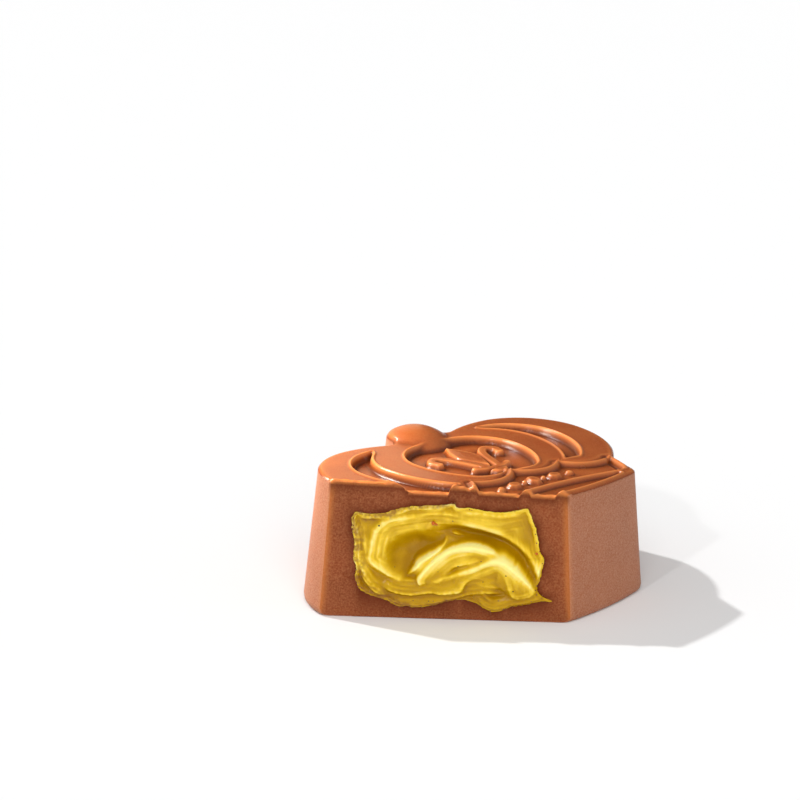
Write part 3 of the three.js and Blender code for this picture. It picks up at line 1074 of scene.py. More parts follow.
@dataclass(frozen=True)
class ChocolateShell:
    """The moulded chocolate with its relief, cut open, hollow where the cream lies.

    The sizes are in mm. `crest_width` and `crest_full` say over which width a place has to stand
    out, and how far, to get the full painted highlight of a thin edge. `oil_reach` and `warm_reach`
    say how far the dark border goes on the cut face, from the cream and from the top, and their
    shares, as those of the painted shade at the feet of the relief and of the painted highlight on
    the edge between the side and the cut, how dark or pale a place gets. `cut_inset_share` is how
    much of the side's inset the cut takes too, and `sharp` is an angle in radians.
    """

    plan: CrownPlan = CrownPlan()
    relief: Relief = Relief()
    turn: float = math.radians(46.33)
    cut: float = 10.01
    cut_lean: float = 0.72
    top_slope: tuple[float, float] = (0.036, -0.011)
    base_growth: float = 1.41
    base_shift: tuple[float, float] = (0, 0.5)
    base_edge: float = 0.7
    rim_edge: float = 0.5
    cut_edge: float = 0.24
    cut_inset_share: float = 0.4
    corner: float = 0.4
    open_top: float = 17.0
    knife_wave: float = 0.035
    knife_ripple: float = 0.015
    burr: float = 0.09
    burr_place: float = 0.3
    burr_width: float = 0.2
    # where the painted highlight of the burr lies
    burr_highlight_place: float = 0.12
    wall: float = 2.8
    cavity_floor: float = 1.6
    cavity_roof: float = 11.8
    cavity_edge: float = 1.2
    mouth_depth: float = 4.2
    mouth_overlap: float = 0.8
    block_floor: float = -1.0
    cell: float = 0.1
    row: float = 0.35
    crest_width: float = 0.3
    crest_full: float = 0.28
    oil_reach: float = 0.55
    oil_share: float = 0.95
    warm_reach: float = 0.8
    warm_share: float = 0.85
    # painted shade at the feet of the relief
    feet_shade_share: float = 0.85
    # painted highlight along the edge between the moulded side and the cut
    edge_highlight_width: float = 0.3
    edge_highlight_share: float = 0.5
    sliver: float = 0.0005
    sharp: float = math.radians(70)
    plan_low: tuple[float, float] = (-20.0, -10.6)
    plan_high: tuple[float, float] = (17.4, 20.6)

    def turned(self, points: Points) -> Points:
        """Points of the crown's plan in the finished piece's plan."""
        c, s = math.cos(self.turn), math.sin(self.turn)
        return points @ np.array([[c, s], [-s, c]])

    def unturned(self, x: Values, y: Values) -> tuple[Values, Values]:
        """Points of the finished piece's plan in the crown's plan."""
        c, s = math.cos(self.turn), math.sin(self.turn)
        return c * x + s * y, c * y - s * x

    def slope(self, x: Values, y: Values) -> Values:
        """The share of its height that each place of the plan keeps, as the base was scraped askew."""
        across, along = self.unturned(x, y)
        return 1 - (self.top_slope[0] * across + self.top_slope[1] * along) / self.relief.level

    def cut_at(self, z: Values) -> Values:
        """Where the cut lies along -Y at a height, as the knife leaned a little."""
        return self.cut + self.cut_lean * (1 - z / self.relief.level)

    def finish_mesh(self, piece: bpy.types.Object) -> None:
        """Clears slivers from a finished piece, slopes it and brings it to metres."""
        bm = bmesh.new()
        bm.from_mesh(piece.data)
        bmesh.ops.dissolve_degenerate(bm, dist=self.sliver, edges=bm.edges[:])
        bm.to_mesh(piece.data)
        bm.free()
        points = coordinates(piece.data)
        points[:, 2] *= self.slope(points[:, 0], points[:, 1])
        set_coordinates(piece.data, points * MM)

    def section(self, z: float, inset: float, count: int = 330, across: int = 110) -> Points:
        """The cut crown's outline at a height.

        Args:
            z: height above the base in mm.
            inset: how far the outline lies within the drafted side.
            count: the number of points along the moulded side.
            across: the number of points along the cut.

        Returns:
            The closed outline with x, y and z.
        """
        low = max(1 - z / self.relief.level, 0)
        grown = self.plan.outline(self.base_growth * low - inset) + np.array(self.base_shift) * low
        closed = self.turned(grown)
        edge = -self.cut_at(min(z, self.relief.level)) + inset * self.cut_inset_share
        kept = closed[:, 1] > edge
        first, number = int(np.flatnonzero(kept & ~np.roll(kept, 1))[0]), int(kept.sum())
        rolled = np.roll(closed, -first, axis=0)
        side, before, after = rolled[:number], closed[first - 1], rolled[number]
        start = before + (side[0] - before) * (edge - before[1]) / (side[0][1] - before[1])
        end = side[-1] + (after - side[-1]) * (edge - side[-1][1]) / (after[1] - side[-1][1])
        rounded = self.rounded_ends(even_points(np.vstack([start, side, end]), count), edge)
        flat = even_points(np.vstack([rounded[-1:], rounded[:1]]), across)[1:-1]
        ring = np.vstack([rounded, flat])
        return np.column_stack([ring, np.full(len(ring), z)])

    def rounded_ends(self, side: Points, edge: float) -> Points:
        """Rounds the corners where the moulded side meets the cut."""
        t = np.linspace(0, 1, 6)[:, None]
        ends = []
        for run in (side, side[::-1]):
            away = np.hypot(*(run - run[0]).T)
            keep = away > self.corner
            tip, inner = run[0], run[keep][0]
            direction = 1.0 if run[0][0] < 0 else -1.0
            outer = np.array([tip[0] + direction * self.corner, edge])
            curve = (1 - t) ** 2 * outer + 2 * t * (1 - t) * tip + t**2 * inner
            ends.append((curve, keep))
        (head, keep_head), (tail, keep_tail) = ends
        middle = side[keep_head & keep_tail[::-1]]
        return np.vstack([head, middle[1:-1], tail[::-1]])

    def drafted_block(self) -> bpy.types.Object:
        """The crown's sides with a rounded base, open upwards past the relief."""
        edge = self.base_edge
        near, half = edge * 0.13, edge * 0.5  # the points of a quarter round at 30 and 60 degrees
        levels = [(0.0, edge), (near, half), (half, near), (edge, 0.0)]
        rows = np.arange(edge + self.row, self.relief.level - 0.2, self.row)
        levels += [(float(z), 0.0) for z in rows] + [(self.relief.level, 0.0), (self.open_top, 0.0)]
        sections = [self.section(z, inset) for z, inset in levels]
        fewest = min(len(section) for section in sections)
        return lofted_solid("crown_sides", [self.uneven(even_ring(s, fewest)) for s in sections])

    def uneven(self, ring: Points) -> Points:
        """Gives the cut face the slight waves that the knife left."""
        x, y, z = ring.T
        on_cut = smooth_step(-y - self.cut_at(np.minimum(z, self.relief.level)), -0.05, -0.01)
        waves = self.knife_wave * unevenness(x, z * 0.4, size=1.4, seed=3)
        waves += self.knife_ripple * unevenness(x * 0.5, z * 2.0, size=0.8, seed=4)
        moved = ring.copy()
        moved[:, 1] += on_cut * waves
        return moved

    def top_height(self, x: Values, y: Values) -> Values:
        """The relief's height in the finished piece's plan, with its rim and the cut's edge rounded."""
        across, along = self.unturned(x, y)
        z = self.relief.height(across, along)
        rim = depth_within(across, along, self.plan.outline())
        z -= self.rounding(rim, self.rim_edge)
        burr = 1 + 0.5 * unevenness(x, y * 0, size=0.9, seed=5)
        burr = burr + 0.5 * unevenness(x, y * 0, size=0.35, seed=6)
        z += self.burr * burr * bell(y + self.cut - self.burr_place, self.burr_width)
        return z - self.rounding(y + self.cut, self.cut_edge)

    @staticmethod
    def rounding(within: Values, radius: float) -> Values:
        """How far an edge has fallen at a distance within it, up to a slope of 60 degrees."""
        inner = np.clip(radius * math.sin(math.radians(60)) - within, 0, radius * 0.9)
        return radius - np.sqrt(radius**2 - inner**2)

    def cavity_block(self, grow: float, front: float) -> bpy.types.Object:
        """The space for the cream inside the chocolate.

        Args:
            grow: how far it is larger all round in mm.
            front: where it starts behind the middle of the crown, along -Y.

        Returns:
            The solid.
        """
        floor, roof = self.cavity_floor - grow, self.cavity_roof + grow
        edge, slope = self.cavity_edge, self.cavity_edge * 0.3
        levels = [
            (floor, edge), (floor + slope, slope), (floor + edge, 0.0),
            (roof - edge, 0.0), (roof - slope, slope), (roof, edge),
        ]
        sections = []
        for z, inset in levels:
            low = 1 - z / self.relief.level
            outline = self.plan.cavity(self.base_growth * low - self.wall - inset + grow)
            placed = self.turned(outline + np.array(self.base_shift) * low)
            placed[:, 1] = np.maximum(placed[:, 1], -front)
            sections.append(np.column_stack([placed, np.full(len(placed), z)]))
        return lofted_solid("cavity", sections)

    def build(self, mouth: bpy.types.Object, edge_line: Points) -> bpy.types.Object:
        """Makes the shell.

        Args:
            mouth: the opening of the cavity in the cut face, as a solid, which is used up.
            edge_line: the cream's outline on the cut face.

        Returns:
            The piece.
        """
        low, high = self.plan_low, self.plan_high
        top = HeightMap.sample(low, high, self.cell, self.top_height)
        shell = surface_block("milk_chocolate_shell", low, high, self.cell, top.at, self.block_floor)
        apply_solid(shell, self.drafted_block(), Join.KEEP_INSIDE)
        apply_solid(shell, mouth, Join.CUT)
        front = self.cut - self.mouth_depth + self.mouth_overlap
        apply_solid(shell, self.cavity_block(0.0, front), Join.CUT)
        x, y, z = coordinates(shell.data).T
        on_top = np.abs(z - top.at(x, y)) < 0.06
        relief = top.crests(self.crest_width).at(x, y) / self.crest_full
        # painted highlight: on the top's crests and burr, and along the edge between the moulded side and
        # the cut
        pale = np.where(on_top, self.painted_crest_highlights(relief, x, y, z), self.painted_edge_highlight(x, y, z))
        set_attribute(shell.data, "crest", pale)
        # the cut's darkening: the stain of the cream's oil round it and a dark band right below the top
        darkened_cut = self.darkened_cut(edge_line, top, x, y, z)
        # painted shade at the feet of the relief on the top, the cut's darkening elsewhere
        set_attribute(shell.data, "painted_shade_and_cut_darkening", np.where(on_top, self.painted_feet_shade(relief, top, x, y), darkened_cut))
        self.dress(shell)
        self.finish_mesh(shell)
        shell.data.set_sharp_from_angle(angle=self.sharp)
        return shell

    def painted_crest_highlights(self, relief: Values, x: Values, y: Values, z: Values) -> Values:
        """Painted highlight on the top's thin edges: the crests of the relief and the burr at the cut."""
        burr = bell(y + self.cut - self.burr_highlight_place, self.burr_width)
        burr = burr * (0.8 + 0.3 * unevenness(x, z, size=0.5, seed=9))
        return np.clip(np.maximum(relief, burr), 0, 1)

    def painted_edge_highlight(self, x: Values, y: Values, z: Values) -> Values:
        """Painted highlight along the edge between the moulded side and the cut."""
        beside = bell(self.near_side(x, y, z), self.edge_highlight_width)
        return self.edge_highlight_share * beside * bell(y + self.cut_at(z), self.edge_highlight_width)

    def painted_feet_shade(self, relief: Values, top: HeightMap, x: Values, y: Values) -> Values:
        """Painted shade at the feet of the relief, fading out towards the painted highlight at the cut.
        """
        broad = top.crests(self.crest_width * 2.5).at(x, y) / (self.crest_full * 1.6)
        foot = np.clip(-1.8 * np.minimum(relief, broad), 0, 1) * self.feet_shade_share
        return foot * smooth_step(y + self.cut, 0.3, 0.8)

    def darkened_cut(self, edge_line: Points, top: HeightMap, x: Values, y: Values, z: Values) -> Values:
        """How dark the cut face looks: the stain of the cream's oil at its border, and a dark band right
        below the top.
        """
        off = -depth_within(x, z * self.slope(x, y), edge_line, 3.0)
        darkened_cut = 1 + 0.5 * unevenness(x, z, size=0.8, seed=8)
        darkened_cut = darkened_cut * np.exp(-np.maximum(off, 0) / self.oil_reach)
        below = np.maximum(top.at(x, np.full(x.shape, -self.cut)) - z, 0)
        darkened_cut = np.maximum(darkened_cut, self.warm_share * bell(below, self.warm_reach))
        on_face = -y - self.cut_at(z) > -0.25
        return np.where(on_face, np.clip(darkened_cut, 0, 1) * self.oil_share, 0)

    def near_side(self, x: Values, y: Values, z: Values) -> Values:
        """How far points lie within the drafted side in mm."""
        across, along = self.unturned(x, y)
        low = np.clip(1 - z / self.relief.level, 0, 1)
        within = depth_within(
            across - self.base_shift[0] * low, along - self.base_shift[1] * low, self.plan.outline()
        )
        return within + self.base_growth * low

    def dress(self, shell: bpy.types.Object) -> None:
        """Gives the top, the moulded sides and the cut their finishes."""
        mesh = shell.data
        mesh.materials.clear()
        top, side, cut = range(3)
        for finish in (MOULDED_TOP, MOULDED_SIDE, CUT_FACE):
            mesh.materials.append(finish.make())
        count = len(mesh.polygons)
        normals, centres = np.empty(count * 3), np.empty(count * 3)
        mesh.polygons.foreach_get("normal", normals)
        mesh.polygons.foreach_get("center", centres)
        normals, centres = normals.reshape(-1, 3), centres.reshape(-1, 3)
        height = centres[:, 2]
        low = np.clip(1 - height / self.relief.level, 0, 1)
        within = self.near_side(*centres.T) - self.base_growth * low  # the top's outline
        is_side = (np.abs(normals[:, 2]) < 0.3) & (within < self.base_growth * low * -0.6 + 0.12)
        is_cut = (centres[:, 1] < 0.12 - self.cut_at(height)) & (normals[:, 1] < -0.6)
        is_cavity = (within > 1.0) & (height < 13.0)
        is_base = height < 0.5
        index = np.where(is_cut | is_cavity, cut, np.where(is_side | is_base, side, top))
        mesh.polygons.foreach_set("material_index", index.astype(np.int32))
        mesh.shade_smooth()


def even_ring(ring: Points, count: int) -> Points:
    """A closed ring with exactly `count` points, the first one kept."""
    if len(ring) == count:
        return ring
    return even_points(np.vstack([ring, ring[:1]]), count + 1)[:-1]


# ---------------------------------------------------------------- the cream


@dataclass(frozen=True)
class Fold:
    """One sheet of cream: its free edge, and how it falls away behind that edge.

    The edge runs through points with x, z and how far it stands out of the cut face. The sheet
    lies to the right of the edge's run, or to its left where `left` is set. Lengths are in mm and
    slopes in mm per mm: `roll` is how far the rolled edge stands over the sheet, `roll_width` how
    wide it is, `drop` how steeply the edge falls to what lies before it, and `width` how far the
    sheet goes back before it dives under the next one. `melts` says how far its two ends sink, over
    `melt_length`, and `blend` is the fillet where it meets what lies below.
    """

    edge: tuple[tuple[float, float, float], ...]
    slope: float
    seed: int
    left: bool = False
    width: float = 2.0
    roll: float = 0.06
    roll_width: float = 0.3
    drop: float = 4.0
    end_drop: float = 1.2
    streaks: float = 0.09
    melts: tuple[float, float] = (0.5, 0.5)
    melt_length: float = 1.6
    dive: float = 2.5
    ragged: float = 0.06
    ragged_width: float = 0.25
    blend: float = 0.16

    def height(self, x: Values, z: Values) -> Values:
        """How far the sheet stands out of the cut face at points of it."""
        line = smooth_line(self.edge, 8)
        at = reach(x, z, line)
        lengths = np.concatenate([[0], np.cumsum(np.hypot(*np.diff(line[:, :2], axis=0).T))])
        edge = np.interp(at.along, lengths, line[:, 2])
        is_sheet = (at.side > 0) == self.left
        across = np.sqrt(np.clip(at.distance**2 - at.past**2, 0, None))
        within = np.where(is_sheet, across, 0)
        past_width = np.maximum(across - self.width, 0)
        fall = self.slope * across + self.end_drop * at.past + self.dive * past_width
        fall = np.where(is_sheet, fall, self.drop * at.distance)
        for melt, gone in zip(self.melts, (at.along, lengths[-1] - at.along)):
            fall += melt * (1 - smooth_step(gone, 0.0, self.melt_length))
        drag = unevenness(within * 3.4, at.along * 0.2, size=1.0, seed=self.seed)
        drag = drag + 0.7 * unevenness(within * 7.5, at.along * 0.3, size=1.0, seed=self.seed + 50)
        drag = drag * smooth_step(within, 0.05, 0.3) * (1 - smooth_step(within, 1.2, 2.4))
        ragged = self.ragged * unevenness(at.along, at.along * 0, size=0.3, seed=self.seed + 90)
        ragged = ragged * bell(within, self.ragged_width)
        swell = 1 + 0.6 * unevenness(at.along, at.along * 0, size=1.3, seed=self.seed + 120)
        wide = self.roll_width * swell
        roll = self.roll * swell * (1 - smooth_step(within / wide, 0.4, 1.5))
        return edge + ragged + roll - fall + self.streaks * drag


@dataclass(frozen=True)
class Pit:
    """The oval hollow that the knife's curl left in the cream.

    Its middle and its reach to each side are in mm and its turn in radians. `depth` is how far its
    floor lies behind the cut, `rim` how far it rises from there to its edge, and `flatness` the
    power by which it does so.
    """

    x: float = -6.4
    z: float = 7.1
    turn: float = math.radians(16)
    left: float = 3.1
    right: float = 4.6
    below: float = 2.7
    above: float = 2.5
    depth: float = 1.7
    rim: float = 1.9
    flatness: float = 2.4


@dataclass(frozen=True)
class CreamFilling:
    """The cream in the crown, with the folds that the knife drew in it.

    The lines run on the cut face, with x across it and z up it in mm. `bed` is how far the cream
    lies behind the cut between its folds, and `furrow_depths` gives places along the furrow and how
    deep it is there. Past `wisp`, to the lower right, the cream's thin tip lies on the chocolate,
    with no opening behind it.
    """

    shell: ChocolateShell = ChocolateShell()
    pit: Pit = Pit()
    bed: float = 0.25
    bed_waves: float = 0.12
    furrow_width: float = 0.7
    furrow_depths: Line = ((0, 0.2), (2, 1.0), (6, 1.2), (9, 0.9), (12, 0.3))
    lip: float = 0.24
    lip_place: float = 1.15
    lip_width: float = 0.4
    pit_fillet: float = 0.9
    edge_slope: float = 2.5
    behind: float = 4.6
    front: float = 3.0
    mouth_inset: float = 0.25
    core_grow: float = 0.08
    core_overlap: float = 0.5
    sharp: float = math.radians(75)
    cell: float = 0.07
    low: tuple[float, float] = (-13.4, 0.4)
    high: tuple[float, float] = (8.6, 13.0)
    edge_thickness: float = 0.12
    edge_width: float = 0.34
    wisp: tuple[float, float] = (6.5, 3.2)
    crumbs: int = 90
    softness: float = 0.07
    # widths for the painted highlights on the cream's crests
    crest_width: float = 0.2
    crest_full: float = 0.13
    outline: Line = (
        (-12.86, 10.85), (-12.35, 11.45), (-11.25, 11.3), (-10.1, 11.35), (-8.72, 11.69), (-7.11, 12.17),
        (-5.5, 12.33), (-3.78, 12.45), (-2.3, 12.6), (-2.0, 12.2), (-1.14, 12.2), (0.23, 12.07),
        (1.72, 11.87), (3.09, 11.85), (4.35, 12.1), (5.3, 12.25), (5.68, 11.5), (6.0, 10.7),
        (6.43, 9.27), (6.65, 7.84), (7.1, 6.96), (6.91, 5.82), (6.68, 4.73), (6.4, 3.75), (6.85, 2.95),
        (7.98, 2.42), (6.75, 2.36), (5.42, 2.0), (3.81, 1.7), (2.66, 1.2), (1.85, 1.12), (0.93, 1.45),
        (0.23, 1.92), (-1.05, 2.32), (-1.97, 2.3), (-3.12, 2.05), (-4.28, 1.65), (-6.13, 1.37),
        (-7.06, 1.5), (-7.98, 1.37), (-9.03, 1.9), (-9.73, 2.2), (-10.66, 2.44), (-11.47, 2.83),
        (-12.1, 3.35), (-12.5, 4.38), (-12.4, 5.47), (-12.7, 6.54), (-12.55, 8.11), (-12.78, 9.3),
        (-12.85, 10.2),
    )
    ring: Fold = Fold(
        edge=(
            (-7.9, 4.42, 0.5), (-8.92, 4.91, 0.55), (-10.08, 5.6, 0.55), (-10.95, 6.4, 0.5),
            (-10.85, 7.56, 0.5), (-10.67, 8.52, 0.5), (-10.32, 9.61, 0.42), (-9.63, 10.41, 0.32),
            (-8.71, 10.92, 0.25), (-7.33, 11.2, 0.2), (-5.5, 11.45, 0.15), (-3.78, 11.55, 0.1),
            (-2.28, 11.4, 0.0), (0.5, 11.0, -0.1), (3.2, 10.2, -0.15),
        ),
        slope=0.3, seed=10, roll=0.06, roll_width=0.5, drop=1.2, streaks=0.15, melts=(0.0, 0.3),
        blend=0.4, width=9.0,
    )
    borders: tuple[Fold, ...] = (
        Fold(
            edge=(
                (-12.63, 10.9, 0.12), (-12.34, 9.31, 0.2), (-12.42, 7.87, 0.2), (-12.11, 6.32, 0.25),
                (-11.7, 5.12, 0.3), (-10.89, 3.94, 0.4), (-9.73, 2.89, 0.4), (-9.03, 2.06, 0.25),
            ),
            slope=0.4, seed=14, left=True, drop=1.5,
        ),
        Fold(
            edge=(
                (-12.17, 5.59, 0.1), (-11.82, 4.64, 0.25), (-10.77, 3.34, 0.42), (-10.08, 2.76, 0.42),
                (-9.15, 2.0, 0.25),
            ),
            slope=0.5, seed=15, left=True, drop=2.0,
        ),
        Fold(
            edge=(
                (-11.6, 9.9, 0.1), (-11.5, 8.3, 0.2), (-11.4, 7.1, 0.22), (-11.0, 6.0, 0.2),
                (-10.0, 5.0, 0.2),
            ),
            slope=0.6, seed=16, left=True, drop=1.2,
        ),
        Fold(
            edge=(
                (-12.7, 11.0, 0.15), (-11.3, 10.95, 0.15), (-9.7, 11.1, 0.2), (-8.3, 11.45, 0.25),
                (-6.6, 11.95, 0.3), (-4.9, 12.1, 0.32), (-3.6, 12.2, 0.35), (-2.3, 12.35, 0.3),
            ),
            slope=0.7, seed=17, roll=0.1, roll_width=0.2, drop=2.0,
        ),
        Fold(
            edge=(
                (-2.06, 11.95, 0.35), (-1.37, 11.85, 0.35), (-0.57, 11.83, 0.25), (0.92, 11.7, 0.2),
                (2.52, 11.55, 0.2), (3.66, 11.75, 0.25), (5.3, 12.0, 0.2),
            ),
            slope=0.25, seed=18, roll=0.08, roll_width=0.35, drop=1.5, blend=0.4, width=4.0,
        ),
        Fold(
            edge=(
                (5.9, 9.6, 0.0), (6.4, 7.9, 0.2), (6.85, 7.0, 0.3), (6.7, 5.94, 0.4),
                (6.45, 4.97, 0.45), (6.15, 4.1, 0.4),
            ),
            slope=0.3, seed=19, drop=1.6, roll=0.03, roll_width=0.2, blend=0.4,
        ),
    )
    folds: tuple[Fold, ...] = (
        # the curl's thin back edge
        Fold(
            edge=(
                (-7.05, 4.8, 0.25), (-6.3, 5.6, 0.42), (-5.8, 6.3, 0.52), (-4.9, 6.95, 0.52),
                (-3.95, 7.6, 0.4), (-3.25, 8.3, 0.2), (-3.1, 8.9, 0.0),
            ),
            slope=0.1, seed=21, drop=4.0, roll=0.04, roll_width=0.2, width=1.6, streaks=0.09,
        ),
        Fold(
            edge=((-3.4, 9.38, -0.5), (-2.49, 9.36, -0.35), (-1.69, 9.13, -0.4), (-0.6, 8.75, -0.6)),
            slope=1.6, seed=22, drop=2.5, roll=0.0, roll_width=0.15, width=0.25, streaks=0.0,
        ),
        # the tongue with its broad pale roll
        Fold(
            edge=(
                (-5.85, 4.05, 0.85), (-5.95, 4.6, 0.85), (-5.5, 5.3, 0.85), (-4.95, 6.0, 0.9),
                (-4.25, 6.7, 0.95), (-3.5, 7.35, 1.0), (-2.6, 7.9, 1.0), (-1.56, 8.2, 0.95),
                (-0.65, 8.3, 0.85), (0.3, 8.2, 0.75), (1.2, 7.95, 0.65), (2.0, 7.6, 0.5),
                (2.9, 7.1, 0.4),
            ),
            slope=0.26, seed=23, roll=0.14, roll_width=0.7, drop=4.0, melts=(0.0, 0.5),
        ),
        # a thin layer that ends on the tongue
        Fold(
            edge=(
                (-3.5, 5.8, 0.5), (-2.0, 6.08, 0.62), (-0.51, 6.41, 0.66), (0.52, 6.82, 0.66),
                (1.4, 7.2, 0.6),
            ),
            slope=0.3, seed=24, left=True, drop=1.6, roll=0.03, width=1.0,
        ),
        # the long ridge from the left to the thick tip at the lower right
        Fold(
            edge=(
                (-5.2, 3.9, 0.5), (-3.72, 4.6, 0.62), (-2.0, 5.2, 0.7), (-0.28, 5.9, 0.8),
                (0.87, 6.45, 0.95), (1.9, 6.9, 1.15), (2.82, 6.9, 1.25), (3.74, 6.3, 1.2),
                (4.67, 5.4, 1.1), (5.49, 4.5, 0.95), (6.22, 3.58, 0.7),
            ),
            slope=0.34, seed=25, drop=1.9, roll=0.1, roll_width=0.7, melts=(0.5, 0.0), blend=0.8,
            width=2.6,
        ),
        Fold(
            edge=(
                (1.2, 6.2, 0.8), (2.4, 5.8, 0.85), (3.05, 5.1, 0.85), (3.4, 4.14, 0.82),
                (3.67, 3.31, 0.82), (4.14, 2.86, 0.82), (4.94, 2.85, 0.8), (5.74, 3.1, 0.75),
                (6.22, 3.58, 0.6),
            ),
            slope=0.0, seed=26, left=True, drop=1.6, roll=0.0, width=1.3, melts=(0.6, 0.0), blend=0.3,
        ),
        # the sheet below it, with its free corner
        Fold(
            edge=(
                (-10.3, 4.02, 0.3), (-8.69, 3.1, 0.5), (-6.6, 2.83, 0.65), (-4.75, 3.15, 0.75),
                (-3.59, 3.05, 0.82), (-2.44, 3.18, 0.88), (-1.5, 3.42, 0.88), (-1.04, 4.25, 0.75),
                (-0.26, 4.69, 0.6), (0.8, 4.98, 0.45),
            ),
            slope=0.24, seed=27, left=True, drop=2.0, roll=0.05, width=1.5, blend=0.25,
        ),
        # thin sheets along the lower border
        Fold(
            edge=(
                (-9.15, 2.1, 0.25), (-7.98, 1.72, 0.32), (-6.13, 1.62, 0.36), (-4.28, 1.9, 0.4),
                (-3.12, 2.25, 0.42), (-1.97, 2.55, 0.44), (-0.82, 2.95, 0.45), (0.33, 3.12, 0.45),
                (1.48, 3.2, 0.45), (2.87, 3.0, 0.4),
            ),
            slope=0.12, seed=28, left=True, drop=1.6, roll=0.03, roll_width=0.2, width=1.2, blend=0.25,
        ),
        Fold(
            edge=(
                (-0.9, 3.9, 0.3), (0.3, 4.0, 0.45), (1.4, 3.9, 0.5), (2.4, 3.75, 0.45), (3.2, 3.4, 0.3),
            ),
            slope=0.3, seed=29, left=True, drop=1.2, roll=0.0, width=1.0, blend=0.3,
        ),
        Fold(
            edge=(
                (-0.93, 2.45, 0.15), (0.34, 2.25, 0.25), (0.95, 1.8, 0.3), (1.85, 1.45, 0.3),
                (3.0, 1.65, 0.35), (3.81, 1.95, 0.35), (5.42, 2.25, 0.4), (6.56, 2.6, 0.35),
                (7.94, 2.45, 0.15),
            ),
            slope=0.1, seed=30, left=True, drop=1.4, roll=0.03, roll_width=0.2, width=1.0, blend=0.25,
        ),
    )
    furrow: Line = (
        (-3.9, 9.6), (-3.0, 9.6), (-2.04, 9.5), (-0.54, 9.2), (0.96, 8.8), (2.34, 8.3), (3.5, 7.6),
        (4.42, 6.85), (5.1, 6.0), (5.6, 5.0),
    )

    def edge_line(self) -> Points:
        """The cream's ragged outline on the cut face."""
        smooth = smooth_line([*self.outline, self.outline[0]], 14)[:-1]
        wobble = 0.07 * unevenness(smooth[:, 0], smooth[:, 1], size=0.35, seed=21)
        wobble += 0.04 * unevenness(smooth[:, 0], smooth[:, 1], size=0.15, seed=41)
        centre = np.array([-2.8, 6.6])
        away = smooth - centre
        return smooth + away / np.hypot(*away.T)[:, None] * wobble[:, None]

    def within(self, x: Values, z: Values, limit: float = 3.0) -> Values:
        """How far points lie within the cream's outline in mm, up to a limit."""
        return depth_within(x, z, self.edge_line(), limit)

    def stand_out(self, x: Values, z: Values) -> Values:
        """How far the cream stands out of the cut face.

        Args:
            x: across the cut face in mm.
            z: up the cut face.

        Returns:
            The distance in mm, negative where the cream lies behind the cut.
        """
        out = self.bed_waves * unevenness(x, z, size=3.0, seed=31) - self.bed
        for fold in (self.ring, *self.borders):
            out = soft_max(out, fold.height(x, z), fold.blend)
        out = -soft_max(-out, -self.hollow(x, z), self.pit_fillet)
        out = self.furrowed(out, x, z)
        out += 0.05 * unevenness(x + 0.6 * z, z * 0.5 - x * 0.3, size=0.7, seed=35)
        for fold in self.folds:
            out = soft_max(out, fold.height(x, z), fold.blend)
        return self.rounded_border(out, x, z)

    def furrowed(self, out: Values, x: Values, z: Values) -> Values:
        """Draws the long furrow through the cream, with drag lines in it and a lip along its side."""
        furrow = reach(x, z, smooth_line(self.furrow))
        deep = np.interp(furrow.along, *zip(*self.furrow_depths))
        out = out - deep * bell(furrow.distance, self.furrow_width)
        offset = furrow.distance * furrow.side
        near = 1 - smooth_step(furrow.distance, 1.5, 3.0)
        out = out + 0.06 * near * unevenness(offset * 3.0, furrow.along * 0.15, size=1.0, seed=33)
        lip = self.lip * bell(offset - self.lip_place, self.lip_width)
        return out + lip * smooth_step(furrow.along, 1.5, 3.5)

    def rounded_border(self, out: Values, x: Values, z: Values) -> Values:
        """Rounds the cream off towards its outline, down to a thin film on the chocolate."""
        within = self.within(x, z)
        low = smooth_step(-z, -4.5, -2.0)
        share = np.clip(within / (0.7 - 0.3 * low), 0, 1)
        full = np.sqrt(np.clip(1 - (1 - share) ** 2, 0, 1))
        border = self.edge_thickness - self.edge_slope * np.maximum(within - self.edge_width, 0)
        return np.maximum(out * full + self.edge_thickness * (1 - full), border)

    def hollow(self, x: Values, z: Values) -> Values:
        """The smooth deep hollow that the knife's curl left, which rises past the folds round it."""
        pit = self.pit
        c, s = math.cos(pit.turn), math.sin(pit.turn)
        u = (x - pit.x) * c + (z - pit.z) * s
        v = (z - pit.z) * c - (x - pit.x) * s
        u = np.where(u < 0, u / pit.left, u / pit.right)
        v = np.where(v < 0, v / pit.below, v / pit.above)
        off = np.sqrt(u * u + v * v)
        streaks = 0.05 * unevenness(v * 5.0, u * 0.6, size=1.0, seed=37) * smooth_step(off, 0.15, 0.5)
        return -pit.depth + pit.rim * off**pit.flatness + 4.0 * np.maximum(off - 1.1, 0) + streaks

    def painted_light_and_shade(self, face: HeightMap, x: Values, z: Values) -> Values:
        """Painted light and shade on the cream: painted highlights where it stands out and on its crests,
        painted shade in the hollows, along the furrow, towards the bottom and in a patch at the upper
        right, paler along the thin border, with patches that differ at random.
        """
        out = face.at(x, z)
        # painted highlights on the crests
        fine = face.crests(self.crest_width).at(x, z) / self.crest_full
        broad = face.crests(self.crest_width * 3).at(x, z) / (self.crest_full * 3)
        # painted highlight where the cream stands out, painted shade in the hollows
        level = np.clip((out + 2.1) / 3.1, 0, 1)
        furrow = reach(x, z, smooth_line(self.furrow), 2.0)
        # painted shade along the furrow
        level -= 0.4 * bell(furrow.distance, 0.8) * (1 - smooth_step(out, -0.2, 0.5))
        border = 1 - smooth_step(self.within(x, z, 1.0), 0.0, 0.3)
        # painted shade towards the bottom
        low = 1 - smooth_step(z, 2.0, 6.5)
